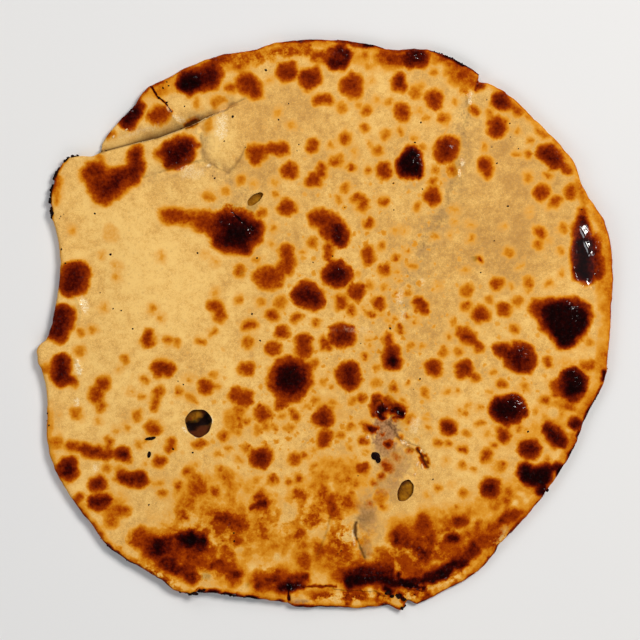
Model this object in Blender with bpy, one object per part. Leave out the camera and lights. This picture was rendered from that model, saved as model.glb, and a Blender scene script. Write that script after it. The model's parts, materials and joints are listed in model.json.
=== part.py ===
"""Aloo paratha: a round pan-fried flatbread, two skins of wheat dough round a thin layer of spiced potato.

The bread lies flat with its browned top up. +X is to the right of the top, +Y away from the reader and +Z up.
The origin is the middle of the base. Sizes and places are in millimetres, and MM turns them into metres.
"""
import math

import bmesh
import bpy
import numpy as np

MM = 0.001

# Driving dimensions
MIDDLE_THICKNESS = 5.4      # skin, filling and skin
RIM_THICKNESS = 3.2         # the sealed edge, dough alone
RIM_ROUNDING = 1.6          # how far in from the outline the edge begins to round
SKIN = 1.3                  # dough above and below the filling
CLEARANCE = 0.3             # between the dough and the filling
FILLING_REACH = 0.80        # share of the bread's radius that the filling takes up
FILLING_EDGE_FALL = 0.4     # the filling's top comes down by this towards its edge
FILLING_FALL_REACH = 16.0   # over this width
FILLING_EDGE_BULGE = 0.6    # its edge is rounded outwards by this
FILLING_EDGE_RISE = 0.3     # height of that bulge above the filling's base
FLAT_BASE_INSET = 24.0      # width of the ring round the flat base, where the edge may curl up
CURL = 1.5                  # highest lift of the underside at the edge
THICKENING = (2.0, 40.0)    # how far in from the outline the bread begins and ends to grow thicker
WAVE_HEIGHTS = (0.35, 0.25)             # of the top's two gentle waves
WAVE_LENGTHS = (15.0, 21.0, 19.0)       # of the first along x and y, and of the second
TOP_CELLS = 48              # squares across the top's grid
FILLING_CELLS = 22          # squares across the filling's grid

# The outline, anticlockwise from the right: a smooth edge with a few steps where folded dough ends
OUTLINE = (
    (114.4, 2.0), (115.2, 16.4), (115.2, 28.0), (112.4, 40.4), (104.0, 54.0), (99.6, 65.6), (92.0, 74.4),
    (83.6, 82.8), (76.4, 90.0), (66.4, 96.4), (61.3, 97.6), (62.0, 100.0), (55.2, 104.8), (45.2, 109.2),
    (37.2, 110.8), (24.8, 110.4), (19.2, 112.4), (-2.0, 114.4), (-9.2, 114.4), (-20.0, 113.2),
    (-28.0, 110.4), (-40.4, 108.4), (-56.4, 102.8), (-64.8, 98.4), (-71.6, 94.8), (-77.6, 86.8),
    (-84.4, 79.6), (-89.2, 72.8), (-90.0, 69.6), (-93.2, 67.8), (-97.2, 67.6), (-103.2, 66.8), (-106.8, 62.4),
    (-109.2, 54.8), (-110.0, 46.0), (-108.4, 40.4), (-106.4, 30.0), (-106.4, 17.2), (-109.0, 3.2),
    (-111.6, -5.6), (-114.2, -7.8), (-115.4, -10.8), (-115.0, -14.4), (-113.4, -19.0), (-111.8, -25.6),
    (-111.2, -31.6), (-111.6, -45.2), (-108.0, -58.4), (-103.2, -67.2), (-94.0, -79.6), (-86.0, -89.6),
    (-77.6, -95.2), (-66.4, -101.6),
    (-60.8, -106.0), (-52.2, -108.8), (-51.2, -106.4), (-40.4, -108.0), (-15.6, -111.2), (-11.6, -112.8),
    (1.2, -113.2), (14.4, -113.6), (24.8, -112.4), (30.8, -114.4), (33.2, -110.4), (37.2, -112.0),
    (46.8, -107.2), (56.8, -102.0), (68.0, -92.0), (70.0, -87.6), (79.6, -78.0), (89.6, -65.6),
    (99.2, -50.4), (103.2, -40.4), (106.4, -33.2), (111.6, -24.0), (113.2, -18.4), (113.2, -13.6),
    (114.0, -6.0),
)

# Low browned blisters: x, y, width, height across the page, turn in degrees, rise
BLISTERS = (
    (-36.8, 37.2, 24, 19, 0, 0.9), (96.0, 2.0, 26, 23, 0, 0.9), (104.8, 31.2, 14, 33, 0, 1.2),
    (34.8, 64.4, 13, 13, 0, 1.2), (48.8, 70.4, 10, 12, 0, 0.8), (76.8, -12.8, 16, 14, 0, 0.9),
    (74.0, -33.6, 16, 12, 0, 0.9), (99.2, -24.0, 13, 15, 0, 0.9), (-13.6, -22.0, 18, 18, 0, 0.7),
    (-25.2, 69.2, 16, 7, 0, 0.8), (5.2, 107.0, 12, 9, 0, 0.7), (33.6, 106.5, 20, 8, 0, 0.7),
    (-49.6, 97.6, 21, 10, 25, 0.8), (-77.6, 83.6, 10, 11, 0, 0.6), (2.0, 37.6, 15, 17, 0, 0.6),
    (4.0, 20.0, 12, 11, 0, 0.6), (-6.0, 11.6, 14, 10, 0, 0.6), (91.2, 67.2, 14, 9, -40, 0.6),
    (-100.4, 18.0, 12, 15, 0, 0.6), (-65.6, -89.6, 16, 24, 0, 0.8), (-16.4, -103.2, 24, 10, 0, 0.8),
    (34.8, -102.4, 24, 8, 12, 0.7), (85.2, -60.4, 18, 14, 40, 0.7), (-40.4, -76.8, 14, 10, 0, 0.5),
    (33.2, -86.0, 20, 14, 20, 0.5), (-25.2, -53.6, 10, 9, 0, 0.5), (9.6, -19.6, 10, 11, 0, 0.6),
    (-58.8, 69.6, 16, 13, 15, 1.0), (-87.2, 56.8, 18, 14, 0, 0.6), (25.6, -10.8, 9, 16, 0, 0.6),
)

# Creases: the points they pass through, the half-width and the depth
CREASES = (
    (((60.8, 96.0), (54.4, 66.0), (46.8, 42.0), (38.0, 33.6), (30.8, 9.2), (28.0, -4.0)), 3.0, 0.7),
    (((23.0, -26.0), (27.6, -38.0), (30.8, -46.0), (37.2, -50.4), (39.2, -56.0), (34.8, -61.6)), 2.6, 0.9),
    (((13.6, -78.8), (14.4, -90.4)), 2.6, 0.6),
    (((-50.4, 81.6), (-49.2, 74.0), (-50.0, 66.0), (-38.8, 60.4)), 2.8, 0.9),
    (((-50.0, 66.0), (-72.4, 59.2)), 3.0, 0.6),
)

# The folded flap at the upper left: the seam between the raised lobe below and the flap that dips to it
SEAM = ((-90.2, 69.2), (-79.6, 72.0), (-66.0, 75.2), (-57.6, 78.4), (-50.4, 81.6), (-39.2, 86.4))
SEAM_RISE = 0.9             # of the lobe beside the seam
SEAM_DIP = 1.7              # of the flap beside the seam
SEAM_FADE = 6.0             # how far past its ends the seam runs out
LOBE_REACH = 14.0
FLAP_REACH = 6.0
SLOT_WIDTH = 0.8            # of the open seam and of the crack in the edge
SEAM_SLOT_DEPTH = 1.2
SEAM_SLOT_MIDDLE = 4.8      # height of the slot's middle
CRACK = ((-72.5, 99.0), (-69.2, 95.2), (-66.8, 91.2), (-64.0, 89.2), (-61.2, 85.2))
CRACK_DEPTH = 1.2
CRACK_MIDDLE = 4.2

# Places where the top skin is torn, and where it has burst open down to the filling: x, y, size, turn, depth
TORN_PATCHES = (
    (21.6, -32.8, 6.0, 10.0, 15, 1.1), (28.8, -34.8, 8.0, 6.0, 0, 1.0), (24.4, -43.0, 9.0, 10.0, 0, 0.5),
)
THIN_FILLING = (25.0, -37.0, 34.0, 34.0, 0, 0.9)       # the filling lies lower below the torn patches
BURST_HOLES = ((-50.6, -39.2, 10.4, 11.0, 0), (32.2, -66.3, 5.8, 9.0, -25), (-28.0, 50.4, 7.4, 3.4, 38))
HOLE_SIDES = 20
HOLE_CUT_FLOOR = 2.7        # the holes are punched from above down to this height, inside the hollow
HOLE_CUT_TOP = 12.7

DOUGH_COLOUR = (0.80, 0.55, 0.27, 1.0)
FILLING_COLOUR = (0.55, 0.38, 0.09, 1.0)


def smooth_step(low, high, value):
    """0 below low, 1 above high, and a smooth rise between them."""
    share = min(max((value - low) / (high - low), 0.0), 1.0)
    return share * share * (3.0 - 2.0 * share)


def outline_knots():
    """Angle, radius and slope at each outline point, with one turn repeated on either side."""
    points = np.array(OUTLINE)
    angles = np.unwrap(np.arctan2(points[:, 1], points[:, 0]))
    radii = np.hypot(points[:, 0], points[:, 1])
    angles = np.concatenate([angles - math.tau, angles, angles + math.tau])
    radii = np.tile(radii, 3)
    steps = np.diff(radii) / np.diff(angles)
    before, after = steps[:-1], steps[1:]
    slopes = np.zeros_like(radii)
    same_way = before * after > 0
    slopes[1:-1][same_way] = 2.0 * before[same_way] * after[same_way] / (before + after)[same_way]
    return angles, radii, slopes


KNOT_ANGLES, KNOT_RADII, KNOT_SLOPES = outline_knots()


def outline_radius(angle):
    """The outline's radius at an angle, on a smooth curve that never swings past its points."""
    i = int(np.searchsorted(KNOT_ANGLES, angle)) - 1
    width = KNOT_ANGLES[i + 1] - KNOT_ANGLES[i]
    t = (angle - KNOT_ANGLES[i]) / width
    start, end = KNOT_RADII[i], KNOT_RADII[i + 1]
    pull = (KNOT_SLOPES[i] * (t - 1.0) + KNOT_SLOPES[i + 1] * t) * width * t * (t - 1.0)
    return start + (end - start) * t * t * (3.0 - 2.0 * t) + pull


def disc_place(u, v):
    """Angle and share of the radius for a point of the square from -1 to 1, spread evenly over the disc."""
    if u == 0.0 and v == 0.0:
        return 0.0, 0.0
    if abs(u) >= abs(v):
        angle = math.pi / 4.0 * v / u
        signed_share = u
    else:
        angle = math.pi / 2.0 - math.pi / 4.0 * u / v
        signed_share = v
    if signed_share < 0.0:
        angle += math.pi
    return math.atan2(math.sin(angle), math.cos(angle)), abs(signed_share)


def mound(x, y, centre_x, centre_y, width, height, turn):
    """1 at the middle of an oval, falling smoothly to about 0.1 at its edge."""
    cos, sin = math.cos(math.radians(turn)), math.sin(math.radians(turn))
    along = ((x - centre_x) * cos + (y - centre_y) * sin) / (width / 2.0)
    across = ((y - centre_y) * cos - (x - centre_x) * sin) / (height / 2.0)
    return math.exp(-2.2 * (along * along + across * across))


def beside_path(x, y, path):
    """Distance to a path of straight runs, positive on its left, and how far past its ends the point is."""
    nearest = (math.inf, 0.0, 0.0)
    for i, ((ax, ay), (bx, by)) in enumerate(zip(path, path[1:])):
        run_x, run_y = bx - ax, by - ay
        length = math.hypot(run_x, run_y)
        share = ((x - ax) * run_x + (y - ay) * run_y) / (length * length)
        held = min(max(share, 0.0), 1.0)
        distance = math.hypot(x - ax - held * run_x, y - ay - held * run_y)
        if distance < nearest[0]:
            beyond = 0.0
            if i == 0 and share < 0.0:
                beyond = -share * length
            elif i == len(path) - 2 and share > 1.0:
                beyond = (share - 1.0) * length
            side = math.copysign(1.0, run_x * (y - ay) - run_y * (x - ax))
            nearest = (distance, side, beyond)
    return nearest[0] * nearest[1], nearest[2]


def curl(angle):
    """How far the underside's edge lifts off the flat, round the bread."""
    slow = 0.5 + 0.5 * math.sin(2.0 * angle + 0.7)
    quick = 0.5 + 0.5 * math.sin(5.0 * angle - 1.1)
    return CURL * (0.65 * slow + 0.35 * quick)


def underside(inset, angle):
    """Height of the bread's underside, by how far in from the outline a point is."""
    return curl(angle) * (1.0 - smooth_step(0.0, FLAT_BASE_INSET, inset)) ** 1.5


def seam_relief(x, y):
    """The lobe that rises to the seam and, across it, the flap that dips down to it."""
    distance, beyond = beside_path(x, y, SEAM)
    fade = math.exp(-(beyond / SEAM_FADE) ** 2)
    if distance > 0.0:
        return -SEAM_DIP * (1.0 - smooth_step(0.0, FLAP_REACH, distance)) ** 0.8 * fade
    return SEAM_RISE * math.exp(-(distance / LOBE_REACH) ** 2) * fade


def plain_surface(x, y, inset, angle):
    """Height of the top by its thickness and gentle waves alone."""
    middle = smooth_step(*THICKENING, inset)
    height = underside(inset, angle) + RIM_THICKNESS + (MIDDLE_THICKNESS - RIM_THICKNESS) * middle
    wave = WAVE_HEIGHTS[0] * math.sin(x / WAVE_LENGTHS[0] + 0.6) * math.cos(y / WAVE_LENGTHS[1] - 0.4)
    wave += WAVE_HEIGHTS[1] * math.sin((x - 1.4 * y) / WAVE_LENGTHS[2])
    return height + wave * smooth_step(4.0, 30.0, inset)


def top_surface(x, y, inset, angle):
    """Height of the bread's top: the seam, blisters, creases and torn patches lie on the plain surface."""
    height = plain_surface(x, y, inset, angle) + seam_relief(x, y)
    for *oval, rise in BLISTERS:
        height += rise * mound(x, y, *oval)
    for path, half_width, depth in CREASES:
        distance, beyond = beside_path(x, y, path)
        height -= depth * math.exp(-(distance / half_width) ** 2 - (beyond / half_width) ** 2)
    for *oval, depth in TORN_PATCHES:
        height -= depth * mound(x, y, *oval)
    return height


def rounded_disc(name, cells, edge_inset, top, edge_rings, collection):
    """A closed disc in the bread's outline: a grid for its top, rings down its edge and one flat base."""
    bm = bmesh.new()
    bmesh.ops.create_grid(bm, x_segments=cells, y_segments=cells, size=1.0)

    def place(vert, angle, inset, height):
        radius = outline_radius(angle) - inset
        vert.co = (radius * math.cos(angle) * MM, radius * math.sin(angle) * MM, height * MM)

    for vert in bm.verts:
        angle, share = disc_place(round(vert.co.x, 6), round(vert.co.y, 6))
        radius = outline_radius(angle)
        inset = radius - (radius - edge_inset(radius)) * share
        x, y = (radius - inset) * math.cos(angle), (radius - inset) * math.sin(angle)
        place(vert, angle, inset, top(x, y, inset, angle))

    rim = [edge for edge in bm.edges if edge.is_boundary]
    for ring in edge_rings:
        made = bmesh.ops.extrude_edge_only(bm, edges=rim)["geom"]
        rim = [item for item in made if isinstance(item, bmesh.types.BMEdge)]
        for vert in [item for item in made if isinstance(item, bmesh.types.BMVert)]:
            angle = math.atan2(vert.co.y, vert.co.x)
            radius = outline_radius(angle)
            inset, height = ring(radius, angle)
            place(vert, angle, inset, height)
    bmesh.ops.contextual_create(bm, geom=rim)
    bmesh.ops.triangulate(bm, faces=bm.faces, quad_method="FIXED")
    bmesh.ops.recalc_face_normals(bm, faces=bm.faces)
    return add_object(name, bm, collection)


def add_object(name, bm, collection):
    mesh = bpy.data.meshes.new(name)
    bm.to_mesh(mesh)
    bm.free()
    mesh.shade_smooth()
    mesh.set_sharp_from_angle(angle=math.radians(50))
    obj = bpy.data.objects.new(name, mesh)
    collection.objects.link(obj)
    return obj


def make_outer_bread(collection):
    """The whole bread from outside, before anything is cut out of it."""
    def ring(inset, share_of_rim):
        return lambda radius, angle: (inset, underside(inset, angle) + share_of_rim * RIM_THICKNESS)

    rings = [ring(0.4, 0.74), ring(0.0, 0.45), ring(0.9, 0.06), ring(9.0, 0.0), ring(FLAT_BASE_INSET, 0.0)]
    return rounded_disc("dough", TOP_CELLS, lambda radius: RIM_ROUNDING, top_surface, rings, collection)


def make_filling_shape(name, spare, collection):
    """The filling's layer, larger by spare all round: at spare = CLEARANCE it is the hollow in the dough."""
    def edge_inset(radius):
        return radius * (1.0 - FILLING_REACH) - spare

    *thin_oval, thin_depth = THIN_FILLING

    def top(x, y, inset, angle):
        from_edge = inset - edge_inset(outline_radius(angle))
        edge_fall = FILLING_EDGE_FALL * (1.0 - smooth_step(0.0, FILLING_FALL_REACH, from_edge))
        thinner = edge_fall + thin_depth * mound(x, y, *thin_oval)
        return plain_surface(x, y, inset, angle) - SKIN - CLEARANCE + spare - thinner

    def side(radius, angle):
        return edge_inset(radius) - FILLING_EDGE_BULGE, SKIN + CLEARANCE + FILLING_EDGE_RISE

    def base(radius, angle):
        return edge_inset(radius), SKIN + CLEARANCE - spare

    return rounded_disc(name, FILLING_CELLS, edge_inset, top, [side, base], collection)


def make_hole_cutter(index, hole, collection):
    """An oval punch from above the bread down into the hollow."""
    x, y, width, length, turn = hole
    bpy.ops.mesh.primitive_cylinder_add(vertices=HOLE_SIDES, radius=1.0, depth=2.0)
    punch = bpy.context.object
    punch.name = f"hole_cutter_{index}"
    reach = (HOLE_CUT_TOP - HOLE_CUT_FLOOR) / 2.0
    punch.scale = (width / 2.0 * MM, length / 2.0 * MM, reach * MM)
    punch.rotation_euler.z = math.radians(turn)
    punch.location = (x * MM, y * MM, (HOLE_CUT_FLOOR + reach) * MM)
    move_to(punch, collection)
    return punch


def make_slot_cutter(name, path, middle_height, half_depth, collection):
    """An upright blade along a path, round along its upper and lower edge."""
    curve = bpy.data.curves.new(name, "CURVE")
    curve.dimensions = "2D"
    curve.fill_mode = "NONE"
    curve.extrude = half_depth * MM
    curve.bevel_depth = SLOT_WIDTH / 2.0 * MM
    curve.bevel_resolution = 1
    curve.use_fill_caps = True
    spline = curve.splines.new("POLY")
    spline.points.add(len(path) - 1)
    for point, (x, y) in zip(spline.points, path):
        point.co = (x * MM, y * MM, 0.0, 1.0)
    strip = bpy.data.objects.new(name, curve)
    collection.objects.link(strip)
    strip.location.z = middle_height * MM
    bpy.context.view_layer.update()
    mesh = bpy.data.meshes.new_from_object(strip.evaluated_get(bpy.context.evaluated_depsgraph_get()))
    bm = bmesh.new()
    bm.from_mesh(mesh)
    bmesh.ops.remove_doubles(bm, verts=bm.verts, dist=1e-6)
    bmesh.ops.recalc_face_normals(bm, faces=bm.faces)
    bm.to_mesh(mesh)
    bm.free()
    blade = bpy.data.objects.new(name + "_cutter", mesh)
    blade.matrix_world = strip.matrix_world
    collection.objects.link(blade)
    bpy.data.objects.remove(strip)
    return blade


def move_to(obj, collection):
    for old in list(obj.users_collection):
        old.objects.unlink(obj)
    collection.objects.link(obj)


def cut(target, cutter):
    """Takes a cutter out of a solid and leaves the cutter as a hidden guide."""
    modifier = target.modifiers.new("cut by " + cutter.name, "BOOLEAN")
    modifier.operation = "DIFFERENCE"
    modifier.object = cutter
    cutter.hide_render = True
    cutter.display_type = "WIRE"


def make_material(name, colour, roughness):
    material = bpy.data.materials.new(name)
    material.use_nodes = True
    shader = material.node_tree.nodes["Principled BSDF"]
    shader.inputs["Base Color"].default_value = colour
    shader.inputs["Roughness"].default_value = roughness
    return material


def new_collection(name):
    collection = bpy.data.collections.new(name)
    bpy.context.scene.collection.children.link(collection)
    return collection


def build():
    for obj in list(bpy.data.objects):
        bpy.data.objects.remove(obj)
    parts = new_collection("aloo_paratha")
    cutters = new_collection("cutters")

    dough = make_outer_bread(parts)
    dough.data.materials.append(make_material("browned wheat dough", DOUGH_COLOUR, 0.5))
    filling = make_filling_shape("potato_filling", 0.0, parts)
    filling.data.materials.append(make_material("spiced potato mash", FILLING_COLOUR, 0.6))

    cut(dough, make_filling_shape("hollow_cutter", CLEARANCE, cutters))
    for index, hole in enumerate(BURST_HOLES):
        cut(dough, make_hole_cutter(index, hole, cutters))
    cut(dough, make_slot_cutter("seam", SEAM[1:], SEAM_SLOT_MIDDLE, SEAM_SLOT_DEPTH, cutters))
    cut(dough, make_slot_cutter("crack", CRACK, CRACK_MIDDLE, CRACK_DEPTH, cutters))


build()
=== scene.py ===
"""How the aloo paratha looks: its browned skin, its seams, tears and burst holes, and the potato inside.

Lengths and places are in millimetres, as in the model's own source, and MM turns them into metres: +X is to
the right of the bread's top, +Y away from the reader and +Z up, with the origin in the middle of the base.
"""
import json
import math

import bmesh
import bpy
import numpy as np
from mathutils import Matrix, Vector

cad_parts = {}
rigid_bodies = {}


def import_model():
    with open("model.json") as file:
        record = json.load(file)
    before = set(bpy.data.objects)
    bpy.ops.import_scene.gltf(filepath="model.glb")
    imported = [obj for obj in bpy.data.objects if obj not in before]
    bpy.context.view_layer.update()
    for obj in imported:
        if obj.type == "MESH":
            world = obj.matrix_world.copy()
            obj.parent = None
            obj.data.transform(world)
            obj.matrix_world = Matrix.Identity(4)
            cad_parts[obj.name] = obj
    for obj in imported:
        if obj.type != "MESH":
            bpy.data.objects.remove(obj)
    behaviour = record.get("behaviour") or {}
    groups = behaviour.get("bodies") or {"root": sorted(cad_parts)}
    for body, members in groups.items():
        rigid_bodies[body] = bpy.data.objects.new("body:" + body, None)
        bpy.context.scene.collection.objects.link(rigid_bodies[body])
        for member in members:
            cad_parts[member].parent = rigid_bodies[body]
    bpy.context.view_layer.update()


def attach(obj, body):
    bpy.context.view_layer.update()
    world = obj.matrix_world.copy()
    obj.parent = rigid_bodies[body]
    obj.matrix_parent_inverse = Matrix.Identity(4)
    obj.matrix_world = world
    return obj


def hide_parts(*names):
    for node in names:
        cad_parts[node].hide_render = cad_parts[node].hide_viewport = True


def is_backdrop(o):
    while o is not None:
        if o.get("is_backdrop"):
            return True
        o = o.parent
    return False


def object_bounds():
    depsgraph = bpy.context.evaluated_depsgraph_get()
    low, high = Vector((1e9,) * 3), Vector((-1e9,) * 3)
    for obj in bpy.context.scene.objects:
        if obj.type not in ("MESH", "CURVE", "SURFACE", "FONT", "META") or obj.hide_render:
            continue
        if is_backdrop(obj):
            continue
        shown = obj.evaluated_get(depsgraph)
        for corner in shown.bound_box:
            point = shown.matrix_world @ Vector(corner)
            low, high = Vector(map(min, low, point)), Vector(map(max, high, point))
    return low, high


MM = 0.001

# ---------------------------------------------------------------- form, as in the model
MIDDLE_THICKNESS = 5.4      # skin, filling and skin
RIM_THICKNESS = 3.2         # the sealed edge, dough alone
RIM_ROUNDING = 1.6          # how far in from the outline the edge begins to round
SKIN = 1.3                  # dough above and below the filling
CLEARANCE = 0.3             # between the dough and the filling
FILLING_REACH = 0.80        # share of the bread's radius that the filling takes up
FILLING_EDGE_FALL = 0.4     # the filling's top comes down by this towards its edge
FILLING_FALL_REACH = 16.0   # over this width
FILLING_EDGE_BULGE = 0.6    # its edge is rounded outwards by this
FILLING_EDGE_RISE = 0.3     # height of that bulge above the filling's base
FLAT_BASE_INSET = 24.0      # width of the ring round the flat base, where the edge may curl up
CURL = 1.5                  # highest lift of the underside there
THICKENING = (2.0, 40.0)    # how far in from the outline the bread begins and ends to grow thicker
WAVE_HEIGHTS = (0.35, 0.25)             # of the top's two gentle waves
WAVE_LENGTHS = (15.0, 21.0, 19.0)       # of the first along x and y, and of the second
HOLLOW_MARGIN = 2.0         # the skin's least thickness is kept this far outside the hollow

# The outline, anticlockwise from the right: a smooth edge with a few steps where folded dough ends
OUTLINE = (
    (114.4, 2.0), (115.2, 16.4), (115.2, 28.0), (112.4, 40.4), (104.0, 54.0), (99.6, 65.6), (92.0, 74.4),
    (83.6, 82.8), (76.4, 90.0), (66.4, 96.4), (61.3, 97.6), (62.0, 100.0), (55.2, 104.8), (45.2, 109.2),
    (37.2, 110.8), (24.8, 110.4), (19.2, 112.4), (-2.0, 114.4), (-9.2, 114.4), (-20.0, 113.2),
    (-28.0, 110.4), (-40.4, 108.4), (-56.4, 102.8), (-64.8, 98.4), (-71.6, 94.8), (-77.6, 86.8),
    (-84.4, 79.6), (-89.2, 72.8), (-90.0, 69.6), (-93.2, 67.8), (-97.2, 67.6), (-103.2, 66.8),
    (-106.8, 62.4), (-109.2, 54.8), (-110.0, 46.0), (-108.4, 40.4), (-106.4, 30.0), (-106.4, 17.2),
    (-109.0, 3.2), (-111.6, -5.6), (-114.2, -7.8), (-115.4, -10.8), (-115.0, -14.4), (-113.4, -19.0),
    (-111.8, -25.6), (-111.2, -31.6), (-111.6, -45.2), (-108.0, -58.4), (-103.2, -67.2), (-94.0, -79.6),
    (-86.0, -89.6), (-77.6, -95.2), (-66.4, -101.6), (-60.8, -106.0), (-52.2, -108.8), (-51.2, -106.4),
    (-40.4, -108.0), (-15.6, -111.2), (-11.6, -112.8), (1.2, -113.2), (14.4, -113.6), (24.8, -112.4),
    (30.8, -114.4), (33.2, -110.4), (37.2, -112.0), (46.8, -107.2), (56.8, -102.0), (68.0, -92.0),
    (70.0, -87.6), (79.6, -78.0), (89.6, -65.6), (99.2, -50.4), (103.2, -40.4), (106.4, -33.2),
    (111.6, -24.0), (113.2, -18.4), (113.2, -13.6), (114.0, -6.0),
)

# Low browned blisters: x, y, width, height across the page, turn in degrees, rise
BLISTERS = (
    (-36.8, 37.2, 24, 19, 0, 0.9), (96.0, 2.0, 26, 23, 0, 0.9), (104.8, 31.2, 14, 33, 0, 1.2),
    (34.8, 64.4, 13, 13, 0, 1.2), (48.8, 70.4, 10, 12, 0, 0.8), (76.8, -12.8, 16, 14, 0, 0.9),
    (74.0, -33.6, 16, 12, 0, 0.9), (99.2, -24.0, 13, 15, 0, 0.9), (-13.6, -22.0, 18, 18, 0, 0.7),
    (-25.2, 69.2, 16, 7, 0, 0.8), (5.2, 107.0, 12, 9, 0, 0.7), (33.6, 106.5, 20, 8, 0, 0.7),
    (-49.6, 97.6, 21, 10, 25, 0.8), (-77.6, 83.6, 10, 11, 0, 0.6), (2.0, 37.6, 15, 17, 0, 0.6),
    (4.0, 20.0, 12, 11, 0, 0.6), (-6.0, 11.6, 14, 10, 0, 0.6), (91.2, 67.2, 14, 9, -40, 0.6),
    (-100.4, 18.0, 12, 15, 0, 0.6), (-65.6, -89.6, 16, 24, 0, 0.8), (-16.4, -103.2, 24, 10, 0, 0.8),
    (34.8, -102.4, 24, 8, 12, 0.7), (85.2, -60.4, 18, 14, 40, 0.7), (-40.4, -76.8, 14, 10, 0, 0.5),
    (33.2, -86.0, 20, 14, 20, 0.5), (-25.2, -53.6, 10, 9, 0, 0.5), (9.6, -19.6, 10, 11, 0, 0.6),
    (-58.8, 69.6, 16, 13, 15, 1.0), (-87.2, 56.8, 18, 14, 0, 0.6), (25.6, -10.8, 9, 16, 0, 0.6),
)

# Creases: the points they pass through, the half-width and the depth
CREASES = (
    (((60.8, 96.0), (54.4, 66.0), (46.8, 42.0), (38.0, 33.6), (30.8, 9.2), (28.0, -4.0)), 3.0, 0.7),
    (((23.0, -26.0), (27.6, -38.0), (30.8, -46.0), (37.2, -50.4), (39.2, -56.0), (34.8, -61.6)), 2.6, 0.9),
    (((13.6, -78.8), (14.4, -90.4)), 2.6, 0.6),
    (((-50.4, 81.6), (-49.2, 74.0), (-50.0, 66.0), (-38.8, 60.4)), 2.8, 0.9),
    (((-50.0, 66.0), (-72.4, 59.2)), 3.0, 0.6),
)

# The seam where the flap at the upper left is folded in, from its open end inwards
SEAM = ((-90.2, 69.2), (-79.6, 72.0), (-66.0, 75.2), (-57.6, 78.4), (-50.4, 81.6), (-39.2, 86.4))
SEAM_RISE = 0.9             # of the lobe beside the seam
SEAM_DIP = 1.7              # of the flap beside the seam
SEAM_FADE = 6.0             # how far past its ends the seam runs out
LOBE_REACH = 14.0           # how wide the lobe's rise is
FLAP_REACH = 6.0            # how wide the flap's dip is
FLAP_SWELL = (0.3, 2.0)     # height and width of the low ridge where the flap's dip begins
SEAM_GROOVE = (0.3, 0.6)    # depth and width of the groove along the lobe's edge
SLOT_WIDTH = 0.7            # of the open seam
SLOT_FLOOR = 3.2            # height of its bottom
CRACK = ((-73.5, 100.5), (-69.2, 95.2), (-66.8, 91.2), (-64.0, 89.2), (-61.2, 85.2))
CRACK_WIDTH = 0.5
CRACK_FLOOR = 2.6           # height of its bottom

# Places where the top skin is torn: x, y, width, height, turn, depth
TORN_PATCHES = (
    (21.6, -32.8, 6.0, 10.0, 15, 1.1), (28.8, -34.8, 8.0, 6.0, 0, 1.0), (24.4, -43.0, 9.0, 10.0, 0, 0.5),
)
THIN_FILLING = (25.0, -37.0, 34.0, 34.0, 0, 0.9)       # the filling lies lower below the torn patches
# Holes where it has burst open down to the filling, the two large ones first: x, y, width, height, turn
BURST_HOLES = ((-50.6, -39.2, 10.4, 11.0, 0), (32.2, -66.3, 5.8, 9.0, -25), (-28.0, 50.4, 7.4, 3.4, 38))

# ---------------------------------------------------------------- finer forms, seen only in the looks
# A slit in the lower edge, and a scorched wrinkle at the upper left
EDGE_SLIT = ((-14.3, -104.5), (-14.9, -107.5), (-14.5, -110.8))
WRINKLE = ((-37.0, 45.0), (-33.5, 41.0), (-29.0, 38.5))
# Fine folds in the skin: the points they pass through, the half-width and the depth
FINE_CREASES = (
    (((-46.5, 84.2), (-39.2, 86.4), (-36.0, 88.0), (-33.0, 89.8)), 0.8, 0.4),
    (((-49.4, 79.0), (-49.2, 72.0), (-49.2, 66.0), (-44.2, 64.2), (-38.7, 60.9)), 0.9, 0.35),
    (((-38.7, 60.9), (-34.2, 65.9), (-32.0, 71.0)), 0.8, 0.25),
    (((-49.2, 66.0), (-57.0, 64.3), (-66.0, 61.5), (-73.0, 59.2)), 1.0, 0.3),
    (((12.4, -79.0), (12.4, -84.0), (13.6, -88.0), (15.2, -92.5)), 1.1, 0.7),
    (((2.0, -77.0), (0.0, -84.0), (-3.5, -92.0), (-5.0, -100.0), (-7.0, -102.0)), 0.8, 0.2),
    (((-13.0, -79.0), (-18.0, -82.0)), 0.7, 0.3),
    (((33.0, -48.0), (37.5, -49.5), (39.5, -52.5), (40.8, -57.5)), 0.8, 0.7),
    (EDGE_SLIT, 0.7, 0.9),
    (((104.5, 40.0), (106.0, 37.0), (105.5, 33.0)), 0.6, 0.35),
    (((105.0, 18.0), (107.0, 14.5)), 0.6, 0.35),
    (WRINKLE, 0.7, 0.35),
)
# Fine raised folds: the points they pass through, the half-width and the height
RIDGES = (
    (((102.5, 39.0), (104.2, 35.0), (104.8, 31.5), (105.8, 28.5)), 0.8, 0.45),
    (((107.0, 28.5), (109.5, 30.5), (112.2, 32.5)), 0.7, 0.4),
    (((100.5, 24.0), (101.5, 28.0), (101.0, 33.0)), 0.9, 0.3),
    (((-58.5, 80.4), (-61.0, 84.4), (-64.5, 88.2)), 0.8, 0.4),
    (((56.8, 92.0), (57.6, 88.0), (58.0, 84.0)), 0.7, 0.4),
    (((54.0, 67.0), (53.0, 63.5), (53.6, 60.0)), 0.9, 0.5),
    (((29.0, -44.5), (33.5, -46.6), (37.0, -48.0)), 0.9, 0.45),
    (((11.4, -80.0), (11.0, -84.0), (12.0, -88.0)), 0.8, 0.35),
    (((-99.5, 11.0), (-97.5, 5.0), (-98.0, 0.5)), 0.9, 0.4),
    (((-99.5, -14.0), (-98.0, -18.0), (-98.5, -22.0)), 0.8, 0.4),
    (((-8.5, -106.5), (-10.5, -108.2), (-13.5, -109.0)), 0.8, 0.4),
)

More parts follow.
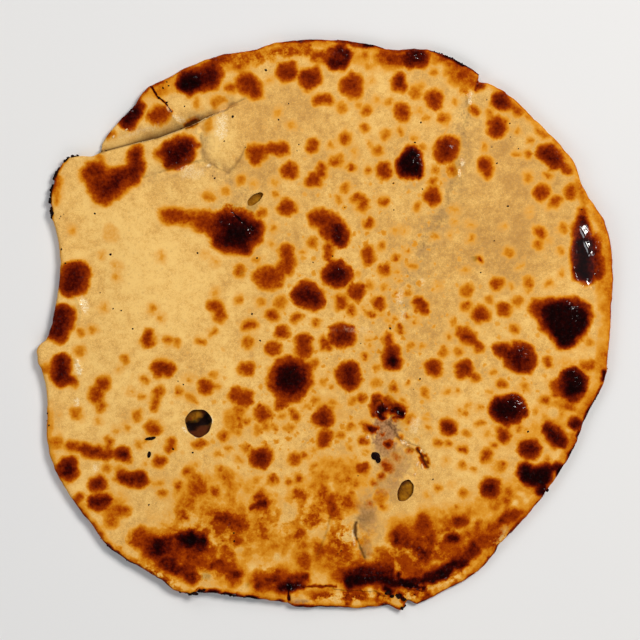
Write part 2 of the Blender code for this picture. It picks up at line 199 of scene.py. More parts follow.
# The top skin ends along this line at the lower right, and the lower skin shows outside it
LEDGE = (
    (-8.0, -104.8), (0.0, -104.4), (6.0, -106.2), (13.0, -106.4), (20.0, -106.8), (24.5, -109.0),
    (27.0, -107.2), (30.0, -104.0), (33.0, -105.8), (40.5, -106.4), (45.0, -102.8), (51.0, -99.4),
    (57.5, -94.8), (61.5, -90.2),
)
LEDGE_DROP = 0.7            # how far the lower skin lies below the top one
LEDGE_SLOPE = 0.15          # half the width of the step between them
LEDGE_FADE = 5.0            # how far past the line's ends the step fades away

# Scorched and dirty lines: the points they pass through, the half-width and the browning
CRACK_LINE = (CRACK, 0.5, 0.95)
SCORCHED_LINES = (
    CRACK_LINE,
    (((37.2, -49.6), (38.6, -51.6), (39.6, -53.8), (40.6, -56.6)), 1.0, 0.98),
    (((39.2, -52.6), (40.0, -55.4)), 1.5, 0.95),
    (EDGE_SLIT, 0.5, 1.1),
    (((-8.0, -105.0), (0.0, -104.6), (5.0, -104.4)), 0.8, 0.8),
    (((29.0, -99.5), (30.6, -102.6), (33.5, -104.4), (40.5, -105.0)), 1.4, 1.1),
    (WRINKLE, 0.6, 1.1),
    (((61.3, 97.6), (60.4, 94.0)), 0.6, 0.9),
    (((42.0, 110.0), (50.0, 107.3), (56.0, 104.4), (61.5, 100.2)), 0.7, 0.98),
    (((4.0, 113.6), (12.0, 112.9), (19.0, 112.0)), 0.9, 1.0),
    (((-52.0, -106.0), (-46.0, -106.6), (-38.0, -108.0), (-30.0, -109.2)), 0.8, 1.1),
)
# Thin shadowy lines along creases: the points they pass through, the half-width and the strength
SHADOW_LINES = (
    (((-55.8, 79.0), (-53.0, 80.4), (-50.4, 81.8)), 0.9, 1.0),
    (((-54.0, 83.0), (-50.0, 83.0), (-47.0, 83.6)), 1.2, 0.45),
    (((-46.5, 84.2), (-39.8, 86.4), (-37.6, 88.1), (-32.0, 91.0)), 0.4, 0.45),
    (((-49.4, 77.0), (-49.2, 66.0), (-44.2, 64.2), (-38.7, 60.9), (-34.2, 65.9), (-32.0, 71.0)), 0.5, 0.42),
    (((-49.2, 65.9), (-57.0, 64.3), (-66.0, 61.5), (-73.0, 59.2)), 0.5, 0.42),
    (((12.2, -79.0), (12.2, -83.0), (12.8, -86.0)), 0.8, 1.0),
    (((13.2, -86.5), (14.6, -90.0), (15.8, -92.8)), 0.6, 0.85),
    (((2.0, -77.0), (0.0, -84.0), (-3.5, -92.0)), 0.45, 0.3),
    (((26.0, -39.0), (27.8, -42.0), (29.5, -46.0)), 0.9, 0.5),
    (((30.0, -46.5), (33.0, -48.6), (37.0, -50.4)), 0.8, 0.5),
    (((37.0, -49.8), (38.6, -51.5), (40.0, -54.0), (41.0, -57.0)), 0.6, 0.8),
    (((57.5, 92.0), (57.0, 84.0), (51.0, 58.0), (46.5, 42.0), (39.0, 32.0)), 1.0, 0.2),
)
# Pale torn bits, worn edges and flour, and painted highlights: x, y, width, height, turn, strength
PALE = (
    # (-41.5, 79) is a painted highlight on a blister
    (-41.5, 79, 6, 16, -8, 0.7), (-62.6, 86.6, 1.6, 4, 35, 0.4), (-58.6, 82.6, 7.5, 2.8, -28, 0.6),
    # (-74, 77.6) is painted light along the flap's crest
    (-74, 77.6, 22, 2.2, 17, 0.3), (58, 90.5, 1.6, 6, -10, 1.0), (55, 65, 2.2, 3.5, 0, 0.9),
    # (-96.5, 8), (-98.6, -17.5) and (-92, -57.5) are painted highlights on glossy spots of the left edge
    (53.8, 60.6, 1.6, 3, 0, 0.9), (-96.5, 8, 3.6, 9, 12, 0.9), (-98.6, -17.5, 3.2, 8, 10, 0.9),
    (-99.2, -31, 2.2, 4.5, 0, 0.8), (-92, -57.5, 2.4, 6, 0, 0.8), (31.5, -46.8, 4, 1.6, -25, 0.9),
    (17, -44.5, 2, 1.6, 0, 0.8), (36, 56.8, 2, 1.6, 0, 0.7), (-46.5, 64, 2.4, 1.6, 0, 0.8),
    (-55.5, 63, 8, 2, 15, 0.5), (11.4, -84, 1.6, 9, 5, 0.6), (-53, 60.5, 12, 5, 10, 0.35),
    # (-55.9, -42.1), (-50.8, -44.9) and (-45.2, -37.6) are painted highlights on the lips of the round hole
    (30, 11, 3, 9, -8, 0.5), (31, 4, 3, 7, 0, 0.5), (-55.9, -42.1, 1.5, 4.4, 35, 1.0),
    (-50.8, -44.9, 5, 1.0, 8, 0.8), (-45.2, -37.6, 1.1, 3.8, 5, 0.85), (36, -40, 5, 8, 0, 0.4),
    (24, 60, 1, 1, 0, 0.6), (39, 17, 1.4, 5, 0, 0.4), (13, -2, 20, 3, 0, 0.15),
)
# Pinkish-grey exposed dough by the tear and two patches of painted shade, and dull olive places: x, y, width,
# height, turn, strength
BARE_AND_SHADE = (
    (24.2, -42.8, 14, 14, 20, 1.0), (23.4, -39.2, 11, 6, 0, 1.0), (24, -48, 13, 11, 0, 0.85),
    # (-10, -110.8) is painted shade on the shaded side of the lower edge, (-51.5, 83) painted shade beside
    # the seam's pocket
    (-10, -110.8, 8, 2.2, 0, 0.8), (28, -55, 17, 16, 0, 0.5), (25, -64, 14, 12, 0, 0.4),
    (17, -76, 10, 20, 8, 0.5), (16.5, -90, 6, 12, 0, 0.5), (-51.5, 83, 7, 3, 10, 0.6),
    (70, -84.5, 12, 4, 45, 0.5),
)
OLIVE = (
    (27.8, -36.8, 5.4, 2.8, -12, 1.0), (-48, -100.5, 6, 4, 30, 0.45), (-31, -104, 3, 3, 0, 0.4),
    (59.6, 26.4, 3, 3, 0, 0.7), (-34, 21.2, 3, 2, 0, 0.5), (-28.6, 47.6, 9, 5, 38, 0.35),
    (-37, 47.5, 12, 4, 0, 0.3), (16.5, -77, 7, 12, 0, 0.4),
)

# Small black dots on the skin: x, y, radius
DOTS = (
    (-36.9, 83.4, 0.6), (-40.3, 73.5, 0.35), (-44.1, 58.7, 0.42), (-45, 59.6, 0.22), (-56.2, 87.6, 0.36),
    (-63.5, 89.1, 0.42), (-64.9, 94.9, 0.4), (-62.6, 95.8, 0.36), (-63.4, 97.3, 0.3), (-23.8, 102.2, 0.5),
    (-31.8, 71, 0.25), (-14.6, 88.6, 0.3), (-18.5, 82.2, 0.4), (-10.5, 72.2, 0.3), (-11.2, 69.7, 0.25),
    (64.8, 90.2, 0.3), (74, 80.7, 0.35), (74.3, 75.3, 0.25), (77.4, 70.5, 0.3), (66.8, 71.2, 0.25),
    (68.6, 64.6, 0.3), (-92.2, 44.6, 0.4), (-86, 28.2, 0.55), (-104, 24.8, 0.4), (-105.5, 30.3, 0.4),
    (-84.8, 6.5, 0.35), (-81.5, 5.8, 0.35), (-90, 13, 0.25), (-51, 28.8, 0.42), (-27.3, 26.8, 0.4),
    (-4.8, 25, 0.3), (-29.3, 4.4, 0.42), (27.3, 56.7, 0.35), (8, 47, 0.25), (27.6, 46, 0.3),
    (3, 27.5, 0.3), (39, 54.3, 0.3), (36, 73, 0.4), (38.5, 81, 0.35), (73.2, 47.5, 0.42),
    (102.8, 46.2, 0.3), (67.7, 33.7, 0.3), (62.3, 21, 0.35), (-77, -1.5, 0.42), (-60.8, -49.5, 0.45),
    (-26, -6.2, 0.4), (-58.8, -22.5, 0.3), (-56.7, -23.8, 0.35), (-53, -51, 0.42), (26, -1.3, 0.5),
    (38, -21.5, 0.42), (14.3, -7.4, 0.25), (81.3, -42.7, 0.45), (-70.5, -72, 0.42), (-111.2, -35.3, 0.35),
    (-110.5, -40.2, 0.35), (-36.5, -83.3, 0.42), (-36.3, -86.5, 0.42), (-105.8, 43.6, 0.25),
    (-104.6, 44.4, 0.2), (-106.4, 42.6, 0.22), (43.2, -61.8, 0.3), (35.4, -25.7, 0.2),
    (13.2, -60.2, 0.25), (-87.6, 69.8, 0.3), (-57.6, 78.6, 0.35), (-66.4, 90.9, 0.5), (6.4, -90.4, 0.3),
    (5.2, -91.6, 0.25), (-99, 26, 0.2),
)
# Larger black bits: x, y, width, height, turn
BLACK_BITS = (
    (-69.4, -45.4, 4.2, 1.5, 12), (-70.2, -52.0, 1.4, 2.8, -8), (20.2, -52.2, 3.4, 3.4, 45),
    (21.3, -53.9, 2.4, 3.0, 20), (25.0, -107.4, 2.6, 1.6, 30), (27.0, -108.6, 1.8, 1.4, 0),
    (30.8, -113.6, 1.2, 1.4, 0), (29.2, -108.8, 2.4, 1.4, -20), (31.6, -110.0, 2.0, 1.2, -20),
    (-52.0, -107.6, 2.6, 1.4, -10), (-48.6, -106.2, 2.2, 1.2, 10),
)
# Pale flakes of torn skin: x, y, width, height, turn
FLAKES = (
    (31.4, -47.2, 2.0, 1.0, -18), (33.0, -48.0, 1.2, 0.8, 10), (17.4, -44.8, 1.2, 0.8, 35),
    (38.9, -56.6, 0.9, 2.4, 8), (37.2, -55.6, 0.9, 1.8, -30), (36.0, -59.8, 1.2, 0.8, 40),
    (-84.6, 75.6, 1.5, 0.8, 40), (-79.6, 78.2, 1.4, 0.7, 30), (57.6, 92.0, 0.8, 2.4, -12),
    (58.4, 88.8, 0.7, 1.6, -18), (54.6, 66.0, 1.2, 1.2, 20), (53.8, 61.6, 0.8, 1.6, 0),
    (31.9, -35.4, 0.6, 0.5, 60), (38.6, -50.4, 1.6, 1.2, 60),
)
# Charred crumbs stuck along the edge: from and to angle in degrees, how many, their radius and how far out
CRUMBS = (
    (145.2, 150.4, 16, 0.85, 0.3), (150.4, 158.6, 36, 0.88, 0.3), (58.0, 69.0, 30, 0.42, 0.0),
    (217.0, 243.0, 16, 0.45, 0.1), (242.3, 244.8, 8, 0.7, 0.1), (84.0, 88.0, 6, 0.35, 0.0),
    (322.8, 323.6, 3, 0.6, 0.3), (285.2, 286.0, 3, 0.7, 0.1), (244.5, 256.0, 22, 0.4, 0.0),
    (341.0, 352.0, 8, 0.45, 0.0), (196.0, 200.0, 3, 0.4, 0.1),
)

# Browned spots of the top, and two spots of painted shade: x, y, width, height, turn in degrees, strength
# (0.3 golden, 0.45 orange, 0.6 red-brown, 0.8 dark brown, 1 nearly black)
SPOTS = (
    # the flap and the lobe at the upper left
    (-77.8, 83.8, 11, 8.5, 45, 1.06), (-75.2, 87.6, 7.5, 5.5, 55, 0.86),
    (-66.6, 84.4, 9.5, 7.5, 35, 0.74), (-85.6, 76.8, 5, 3, 25, 0.55), (-92, 62.5, 9, 7, -10, 0.84),
    (-88, 56.8, 17, 11, 0, 0.84), (-88.5, 51.8, 8.5, 8.5, 0, 0.8), (-85, 54.5, 10, 8, 20, 0.8),
    (-80.4, 59.2, 13, 9, 25, 0.9), (-75.9, 65.3, 8, 13, 0, 0.88), (-75, 69.8, 5, 5, 0, 0.74),
    (-89.6, 66.4, 3, 4, 0, 0.5), (-95.6, 60.4, 5, 8, 15, 0.7), (-71, 93.5, 6, 5, 50, 0.25),
    (-66, 95, 8, 6, 30, 0.36), (-59, 69, 15.5, 11.5, 20, 1), (-54.5, 71.8, 8.5, 7, 45, 0.86),
    (-60, 65.6, 9.5, 7, 0, 0.84), (-65.2, 67.8, 6.5, 5, 0, 0.66),
    # the upper edge
    (-50.2, 98.4, 21, 11.5, 13, 0.9), (-54, 97.2, 12, 8, 8, 1.12), (-45.5, 100.4, 12, 9, 20, 0.86),
    (-42, 105.6, 10, 5, 20, 0.66), (-42, 107, 13, 4, 18, 0.35), (-51, 89, 3, 4, 0, 0.35),
    # (-53.4, 80.3) is painted shade in the pocket at the seam's inner end
    (-46.6, 80.4, 2.6, 7, -8, 0.34), (-53.4, 80.3, 6.6, 2.4, 28, 1.1), (-43, 89.5, 6, 3.5, 20, 0.45),
    (-30.4, 95.7, 11.5, 9.2, -20, 0.8), (-37.5, 94.6, 5, 4, 0, 0.55), (-27.4, 92.4, 6.5, 5.5, 0, 0.74),
    (-30, 106, 4, 3, 0, 0.3), (-30, 108, 10, 3, 0, 0.3), (-22.5, 98, 3, 2.5, 0, 0.3),
    (-15.4, 101.4, 10.5, 7, 0, 0.84), (-5.8, 99, 9.5, 8.5, 25, 0.87), (-7, 95, 3, 3, 0, 0.6),
    (-16, 110, 4, 3, 0, 0.55), (-10, 112, 10, 3.5, 0, 0.55), (-7, 109, 3, 3, 0, 0.5),
    (5, 107, 12.5, 9.5, 0, 1.03), (-2, 107.5, 7, 6, 0, 0.72), (-1, 90, 8, 4.5, 0, 0.7),
    (-18.5, 85, 4, 2.5, 0, 0.3), (-13.5, 80, 3, 2.5, 0, 0.3), (-27.2, 68.6, 9, 8, 0, 0.74),
    (-19.5, 69.8, 11, 5, 0, 0.72), (-27.8, 65, 5.5, 4, 0, 0.66), (-5, 71.4, 4.5, 6.5, 15, 0.64),
    (-14.6, 61.5, 8.5, 6.5, -35, 0.74), (-1.2, 61.8, 4, 7, 0, 0.66), (16, 108.5, 3.5, 3, 0, 0.5),
    (12.5, 112.7, 14, 1.6, -8, 0.8), (17, 104, 2.5, 2.5, 0, 0.35), (11, 95.8, 9, 10.5, 0, 0.8),
    (29.5, 97, 6.5, 8.5, 0, 0.85), (28.5, 106.5, 11, 6.5, 0, 0.78), (36.5, 107, 11, 8.5, 0, 1.05),
    (23.5, 107.5, 6, 3, -20, 0.6), (43.5, 101.5, 3, 2.5, 0, 0.45), (48, 107, 6, 2, -30, 0.5),
    (55, 100, 6, 4, -20, 0.7), (59, 98, 4, 5, 0, 0.6), (50, 97.5, 3.5, 2, 0, 0.4), (56, 94, 4, 3, 0, 0.4),
    (36.4, 93.4, 5.5, 5, 0, 0.5), (38.5, 95.5, 2.5, 2.5, 0, 0.4), (44, 90, 7.5, 7.5, 0, 0.8),
    (52, 89, 2.5, 3.5, 0, 0.35), (30.8, 85, 6.2, 6.2, 0, 0.74), (47.5, 83, 4.5, 4, -30, 0.55),
    (40.5, 82.5, 4, 2, 0, 0.35), (37.5, 85.3, 2, 2, 0, 0.3), (16.5, 86, 4, 4, 0, 0.55),
    (13, 88.5, 3, 2.5, 0, 0.35), (6, 87, 4, 5, 0, 0.45), (26, 89.5, 3, 2.5, 0, 0.4),
    (21, 90, 2.5, 2.5, 0, 0.3), (18.5, 98, 2, 2, 0, 0.3), (15.7, 79, 4, 4, 0, 0.6), (8, 74, 5, 5, 0, 0.6),
    (3, 72, 2, 3, 0, 0.3), (4.5, 65.5, 4.5, 6, -20, 0.6), (11.5, 69, 2, 2, 0, 0.3),
    (24, 76, 4, 3, 40, 0.45), (29.5, 77.5, 4.5, 2.5, -35, 0.45), (18.5, 72.5, 3, 2.5, 0, 0.35),
    (21.5, 70, 3.5, 4, 0, 0.55), (9.8, 63, 3, 5, 0, 0.6), (17, 62, 3, 2.5, 0, 0.45),
    (36, 75, 3, 2, 0, 0.4), (39.5, 71, 3, 2.5, 0, 0.45), (33.8, 63.4, 12, 8.5, 0, 1.14),
    (34.6, 68, 7, 7, 0, 1.1), (34.4, 65.6, 9.5, 9, 0, 1.12), (36, 60.4, 5.5, 4, 0, 1),
    (23.5, 61.8, 6, 7.5, 0, 0.76), (48.5, 70.5, 9.8, 12, -15, 0.88), (44, 62, 3.5, 3, 0, 0.5),
    (50.5, 62, 4, 4, 0, 0.55),
    # the upper right
    (61.5, 96, 4, 3, 0, 0.85), (70.6, 89.4, 8.5, 7, -45, 0.93), (75.5, 86, 7, 4, -40, 0.6),
    (77.5, 84.5, 5, 3, -15, 0.55), (60, 86.2, 4.4, 3.8, 0, 0.62), (66, 84, 3, 5, 0, 0.45),
    (68.8, 79, 7.6, 9, 0, 0.84), (77, 77, 2.5, 3, 0, 0.4), (82, 83, 3, 3, 0, 0.35),
    (87, 77, 5.5, 3, -30, 0.5), (82, 73.5, 3, 2, 0, 0.45), (81, 68, 4, 3.5, 0, 0.5),
    (76.5, 68, 2.5, 2, 0, 0.45), (64, 71, 3, 2.5, 0, 0.35), (90.5, 67.5, 13, 8, -45, 0.93),
    (96, 62.5, 7, 4, -50, 0.7), (64, 64.2, 7.5, 6.5, 0, 0.8), (64.8, 60.5, 4, 5, 0, 0.72),
    # the left, down to the middle
    (-107.5, 54, 3, 12, 0, 0.5), (-62, 42.5, 7, 6, 0, 0.6), (-101.5, 38, 3, 2.5, 0, 0.35),
    (-100.2, 18.5, 12, 16, -20, 0.97), (-88.5, 7, 2.5, 2.5, 0, 0.3), (-83, 18.5, 3, 2.5, 0, 0.35),
    (-83.5, 23, 2, 2, 0, 0.25), (-89, 27.5, 1.5, 3.5, 0, 0.25), (-68.5, 6, 3, 3, 0, 0.45),
    (-65, 2.5, 2.5, 1.5, 0, 0.35), (-65.5, 27.5, 2.5, 2.5, 0, 0.25), (-86, 37, 4, 6, 0, 0.15),
    (-106.2, 0.5, 10, 18, -20, 0.97),
    # the ragged burn at the upper left of the middle, and what lies right of it
    (-36, 37.6, 24, 18, -12, 0.9), (-37, 41.5, 14, 8, 0, 0.9), (-30, 38.6, 9, 9, -30, 0.9),
    (-27.4, 39.4, 5, 5, 0, 0.84), (-35.8, 35.8, 13, 10, -5, 1.12), (-41, 33, 12, 7, -30, 0.86),
    (-33, 31.5, 10, 7, -20, 0.85), (-57, 43, 17, 6.5, -8, 0.68), (-47.5, 41, 11, 8, -22, 0.76),
    (-64, 44.5, 4, 4, 0, 0.6), (-47.2, 51.3, 3.8, 3.8, 0, 0.5), (-40.2, 53.5, 3.2, 3.2, 0, 0.42),
    (-34, 58, 3.6, 3.6, 0, 0.5), (-28, 56, 2.5, 2, 0, 0.25), (-20.5, 57.5, 3, 2, 0, 0.25),
    (-20, 52.7, 3, 1.5, 0, 0.4), (-4.6, 57.8, 8, 6, 10, 0.74), (-15.2, 47.2, 7.2, 7.2, 0, 0.76),
    (-25, 45, 4.6, 4.2, 0, 0.62), (-21, 38.3, 2.5, 2.5, 0, 0.4), (-21.5, 32.7, 2.5, 2.5, 0, 0.35),
    (-2.5, 42.5, 9, 7.5, 0, 0.8), (3, 39, 11, 11, 0, 0.85), (5.5, 36, 7, 10, 0, 0.97),
    (1, 30, 4, 8, 0, 0.7), (-5.5, 33, 3.5, 5, -20, 0.5), (-8.5, 28.5, 2.5, 1.5, 0, 0.35),
    (-15.4, 27.5, 7, 11, 5, 0.74), (-22.3, 19, 12.5, 8, 0, 0.72), (-16.5, 22.5, 7, 6, 0, 0.7),
    (-34, 21.6, 5.2, 5.2, 0, 0.62), (-28, 25, 3, 2.5, 0, 0.4), (-44.5, 25, 2, 2, 0, 0.25),
    (-48, 28.5, 2.5, 1.5, 0, 0.25), (-44, 13, 3, 2.5, 0, 0.25), (-43.6, 7.2, 7, 6, 0, 0.7),
    (-42.2, 4, 5.5, 5, 0, 0.66), (-34, 10, 4, 3, 0, 0.5), (-25.5, 9.5, 3, 4.5, 30, 0.4),
    (-17.5, 9, 5, 5, 0, 0.5), (-21, 4.3, 5.5, 4.5, 0, 0.7), (-30, -0.3, 6, 4, 0, 0.62),
    (-11.5, 2.8, 5, 4, 15, 0.6), (-3.5, 1, 4, 3, 0, 0.5), (-6.4, 11.8, 14.5, 9.5, -22, 0.98),
    # right of the middle
    (8.2, 54.5, 3, 4, 0, 0.5), (5.5, 50, 2.5, 4, 0, 0.4), (12.5, 50.2, 5, 3.5, 0, 0.55),
    (15.5, 48, 4.5, 7, 0, 0.6), (23, 50, 5.5, 4, 0, 0.6), (17.5, 40.8, 4, 4.5, 0, 0.65),
    (28, 37.5, 2.5, 2, 0, 0.3), (31.5, 38.3, 1.5, 1.5, 0, 0.25), (42.5, 57, 4, 3, -50, 0.6),
    (46.3, 56.8, 1.5, 1.5, 0, 0.3), (43.4, 51.4, 7.2, 6.5, 0, 0.8), (37, 47.7, 4, 3.4, -35, 0.52),
    (52, 45.5, 2.5, 2.5, 0, 0.35), (52, 40.8, 2, 2, 0, 0.3), (58, 39.5, 2, 2, 0, 0.25),
    (43.5, 35, 2, 2.5, 0, 0.35), (49.7, 35.8, 1.2, 2.2, 0, 0.3), (58, 34, 2, 3, -30, 0.45),
    (17.3, 27.8, 5, 8.5, 30, 0.7), (22.3, 31.2, 3.5, 3, 0, 0.5), (28.5, 26.8, 3.2, 3.5, 0, 0.45),
    (24, 22, 4.5, 5, 0, 0.65), (32.8, 29.5, 2.5, 1.5, 0, 0.3), (35, 24, 4.5, 2.5, 0, 0.35),
    (29, 22, 2.5, 1.5, 0, 0.3), (29.3, 18.7, 2, 2, 0, 0.3), (4.5, 20, 11.5, 11, 0, 1.03),
    (12, 13, 7.5, 7, 0, 0.8), (6, 9, 5, 6, 0, 0.65), (10.2, 6, 4, 4, 0, 0.65),
    (12.5, 21, 2.5, 2, 0, 0.35), (17.5, 15.5, 3.5, 3.5, 0, 0.4), (23.8, 15.5, 1.8, 3, 0, 0.4),
    (21.5, 9, 5.5, 5, 0, 0.7), (18.5, 4, 3, 3.5, 0, 0.6), (16, 7, 1.5, 1.5, 0, 0.3),
    (22.3, 4.5, 1.5, 2, 0, 0.35), (29, 12, 2, 2.5, 0, 0.4), (33.3, 13, 2, 2.5, 0, 0.4),
    (38.5, 7.5, 5, 9, 30, 0.75), (27.5, 2.5, 2.2, 2, 0, 0.5), (32, 3.5, 2, 1.5, 0, 0.5),
    (24.5, 1.5, 3, 1.5, 0, 0.3), (35.5, 1.5, 2, 3, 0, 0.3), (56.8, 13.8, 4.4, 4.4, 0, 0.58),
    (56.3, 7.4, 4.2, 4.2, 0, 0.56), (56.3, 21.8, 2.3, 2.3, 0, 0.35), (61.4, 26.2, 3.4, 1.3, -25, 0.84),
    (45, 15.5, 2.2, 2.2, 0, 0.3), (51, 1, 3, 2.5, 0, 0.45),
    # the right edge
    (81, 58.7, 3, 3, 0, 0.45), (89, 59.5, 3, 3, 0, 0.5), (86.2, 53.2, 6.2, 5.8, 0, 0.74),
    (92, 48.8, 5, 5, 0, 0.68), (97.6, 53.2, 5, 8, 0, 0.66), (102, 53, 3, 12, 20, 0.45),
    (73.2, 29.3, 2.8, 3.5, 0, 0.45), (86.2, 37, 4.6, 5.4, 20, 0.62), (84, 39.5, 1.5, 2, 0, 0.35),
    (85.2, 32.2, 3.8, 3.8, 0, 0.54), (89.7, 33.8, 1.5, 1.5, 0, 0.3), (95.5, 38, 3.5, 4, 0, 0.5),
    (102.6, 39.5, 5.6, 12, -8, 1), (103, 45.2, 3.4, 5, 0, 0.7), (104.2, 36, 6.4, 12, 0, 0.84),
    (106.5, 32, 8, 14, 20, 0.7), (108.6, 30, 6, 16, 5, 0.56), (94.5, 29.5, 2.2, 3, 0, 0.4),
    (103.2, 26.5, 8.5, 21, 2, 1.17), (107.6, 27, 8, 20, 8, 0.88), (104.6, 18.6, 7, 5, 0, 0.86),
    (94.5, 20.8, 2.3, 2, 0, 0.4), (77.7, 24, 2.2, 2, 0, 0.3), (71, 39.8, 1.5, 1.5, 0, 0.3),
    (81.5, 45.5, 2, 2, 0, 0.2), (69.2, 16.4, 5.4, 5.6, 20, 0.66), (81.6, 17.2, 3.6, 5.4, 0, 0.52),
    (81.5, 13.8, 2.5, 2.5, 0, 0.35), (89.7, 16.5, 2.5, 2.5, 0, 0.4), (74.5, 15.7, 1.8, 1.8, 0, 0.35),
    (65.5, 10.2, 3, 3.5, 0, 0.5), (77.2, 9.4, 4.2, 4.2, 0, 0.5), (71.4, 6.2, 6, 6.8, 0, 0.7),
    (62.2, 4, 6.6, 6.6, 0, 0.78),
    # the left, below the middle
    (-98, -2.7, 3.5, 3, 0, 0.5), (-93, -2, 2.5, 4, 0, 0.4), (-97.5, -11.2, 3.5, 3.5, 0, 0.45),
    (-106, -18, 9, 15, 0, 0.97), (-102, -22, 6, 4.5, 0, 0.8), (-112, -17, 4, 4, 0, 0.5),
    (-88.8, -23.7, 6.2, 6.6, 0, 0.72), (-91.8, -27.6, 7.2, 6.6, 0, 0.7), (-90.2, -32.3, 4, 4.2, 0, 0.55),
    (-70.5, -5.5, 6, 8.5, 0, 0.75), (-62.5, -6.5, 4, 3, 0, 0.5), (-59, -7.3, 3.5, 2.8, 0, 0.5),
    (-80, -14, 4, 3.5, 0, 0.5), (-82.8, -18, 1.5, 1.5, 0, 0.3), (-72.8, -22, 4, 2.2, 0, 0.45),
    (-73, -28.8, 3.5, 2.2, 0, 0.4), (-77.5, -27, 3, 1.5, 0, 0.25), (-64.6, -17.9, 10.8, 6.4, -5, 0.82),
    (-66.8, -26.8, 4.4, 4.4, 0, 0.6), (-68.2, -31, 3, 8, -12, 0.56), (-99.5, -35, 4.5, 4.5, 0, 0.5),
    (-75.3, -36.5, 3.5, 4.5, 0, 0.5), (-90.5, -38, 2, 3.5, 0, 0.3), (-80, -40.5, 3, 2, 0, 0.35),
    (-84.3, -42, 2, 1.5, 0, 0.35), (-68.4, -41.2, 6.6, 5.8, 0, 0.7), (-61.8, -48, 4, 6, 0, 0.65),
    (-74.7, -48, 2, 4, 0, 0.4), (-71.5, -47, 2, 2, 0, 0.35), (-87.3, -47, 3.5, 5, 0, 0.6),
    (-100, -49.6, 10, 4.2, -8, 0.68), (-94, -50.6, 10, 5.8, -5, 0.82), (-81.3, -52.2, 8, 6.4, 0, 0.93),
    (-88, -51.5, 8, 5.4, 0, 0.76), (-108, -47, 6, 5, 0, 0.5), (-65.8, -54.3, 6.4, 5.2, 0, 0.7),
    (-87.7, -57.5, 3.5, 3.5, 0, 0.5), (-82.5, -58, 2.5, 2.5, 0, 0.4), (-72.3, -55.5, 2, 2, 0, 0.3),
    (-103.5, -58, 9, 10, -25, 1),
    # below the middle
    (-44.5, -2.3, 5, 2.2, 20, 0.45), (-49, -6.7, 4, 3, 0, 0.5), (-17, -3, 6.5, 5, 0, 0.7),
    (-31, -7.2, 4.5, 4.5, 0, 0.55), (-21, -9.5, 7, 5.5, 0, 0.7), (-9, -8.5, 6.5, 11, 0, 0.8),
    (-1, -8, 3, 6, 0, 0.6), (-14, -21.8, 18.6, 18, 0, 0.93), (-13.6, -21.2, 14, 13.5, 0, 1.03),
    (-17, -31.5, 5, 4, 0, 0.7), (-5, -16, 4, 4, 0, 0.6), (-12, -35.5, 4, 4.5, 40, 0.65),
    (-31.6, -17.2, 7.8, 5.2, -8, 0.68), (-44, -19.8, 3.5, 2.2, -20, 0.45), (-54.5, -22, 2, 2, 0, 0.3),
    (-47.8, -24.7, 6.8, 6, 0, 0.72), (-43, -24.3, 3, 2, 0, 0.4), (-58.2, -27, 3.5, 2.5, 0, 0.5),
    (-53.5, -29.5, 5.5, 2, -40, 0.45), (-33.4, -29, 11.5, 6, -14, 0.72), (-24.4, -35.4, 7.8, 8, 0, 0.74),
    (-23, -41, 3, 3, 0, 0.5), (-34, -34, 4.5, 4, 0, 0.5), (-31, -38, 4, 3, 0, 0.45),
    (-35, -43.5, 3, 3, 0, 0.4), (-41, -44.5, 3.8, 3.8, 0, 0.6), (-26.5, -42, 3, 3.5, 0, 0.4),
    (-19.5, -41.5, 3, 2.5, 0, 0.45), (-14, -41, 4.5, 2.5, 0, 0.4), (-17, -36.2, 3, 2.5, 0, 0.4),
    (-4, -30, 3, 3, 0, 0.45), (-7, -32.2, 2.5, 2, 0, 0.35), (-1, -23, 2.5, 3, 0, 0.4),
    (-0.5, -36.5, 8, 9.5, 0, 0.87), (-0.5, -45.5, 6, 8, 0, 0.75), (-50, -47.3, 7, 3, 18, 0.6),
    (-38.8, -50, 3, 2.5, 0, 0.45), (-31.5, -49.7, 3.5, 3, 0, 0.5), (-43.5, -52, 3, 2, 0, 0.4),
    (-34.5, -54, 4, 1.5, 0, 0.35), (-25.6, -53, 10.2, 8.4, 22, 0.92), (-12.5, -54, 6, 5, 0, 0.65),
    (-8.5, -52, 2.5, 3, -30, 0.45), (-5, -50, 2, 2, 0, 0.35), (-4.7, -55.7, 3, 3, 0, 0.45),
    (-54.5, -58.5, 4, 3.5, 0, 0.6), (-42.5, -57.5, 2.5, 2, 0, 0.35), (-51.7, -56, 3, 1.5, 0, 0.3),
    # right of the middle, below it
    (7, -4, 11, 10, -20, 0.92), (1, -8, 4, 5, 0, 0.7), (9.5, -20, 9, 12, 0, 0.93),
    (15.5, -12.5, 3, 3.5, 0, 0.5), (18, -5, 2.5, 1.5, 0, 0.35), (18, -8.3, 2, 1.5, 0, 0.35),
    (26.5, -13, 8, 12, 0, 0.9), (27, -14, 5, 7, 0, 1.05), (25, -6, 4, 6, 0, 0.7), (30, -15, 3, 4, 0, 0.7),
    (30.5, -2, 2.5, 5, 0, 0.6), (20, -17.5, 2.5, 2, 0, 0.5), (34.5, -8, 2.5, 2, 0, 0.4),
    (38.3, -8.3, 1.8, 2, 0, 0.4), (47, -11, 3, 3.5, 30, 0.5), (53, -10.3, 3, 3, 0, 0.45),
    (49, -5, 2, 2, 0, 0.35), (43.5, -17, 7, 7, 0, 0.85), (55.4, -17.8, 8.2, 8, 0, 0.84),
    (60, -21.5, 4, 3, -35, 0.55), (57, -4.8, 8.8, 6.8, -30, 0.8), (61.2, -9, 4.6, 6, 30, 0.66),
    (53.8, -2.8, 4.2, 4, 0, 0.62), (15, -29, 4.5, 4.5, 0, 0.7), (21.2, -33, 4.2, 8.6, 4, 0.88),
    (21.4, -29.2, 4.4, 2.6, 0, 0.76), (22.6, -34.2, 3.4, 7, 3, 0.95), (23.2, -37, 3.4, 2.4, 0, 0.88),
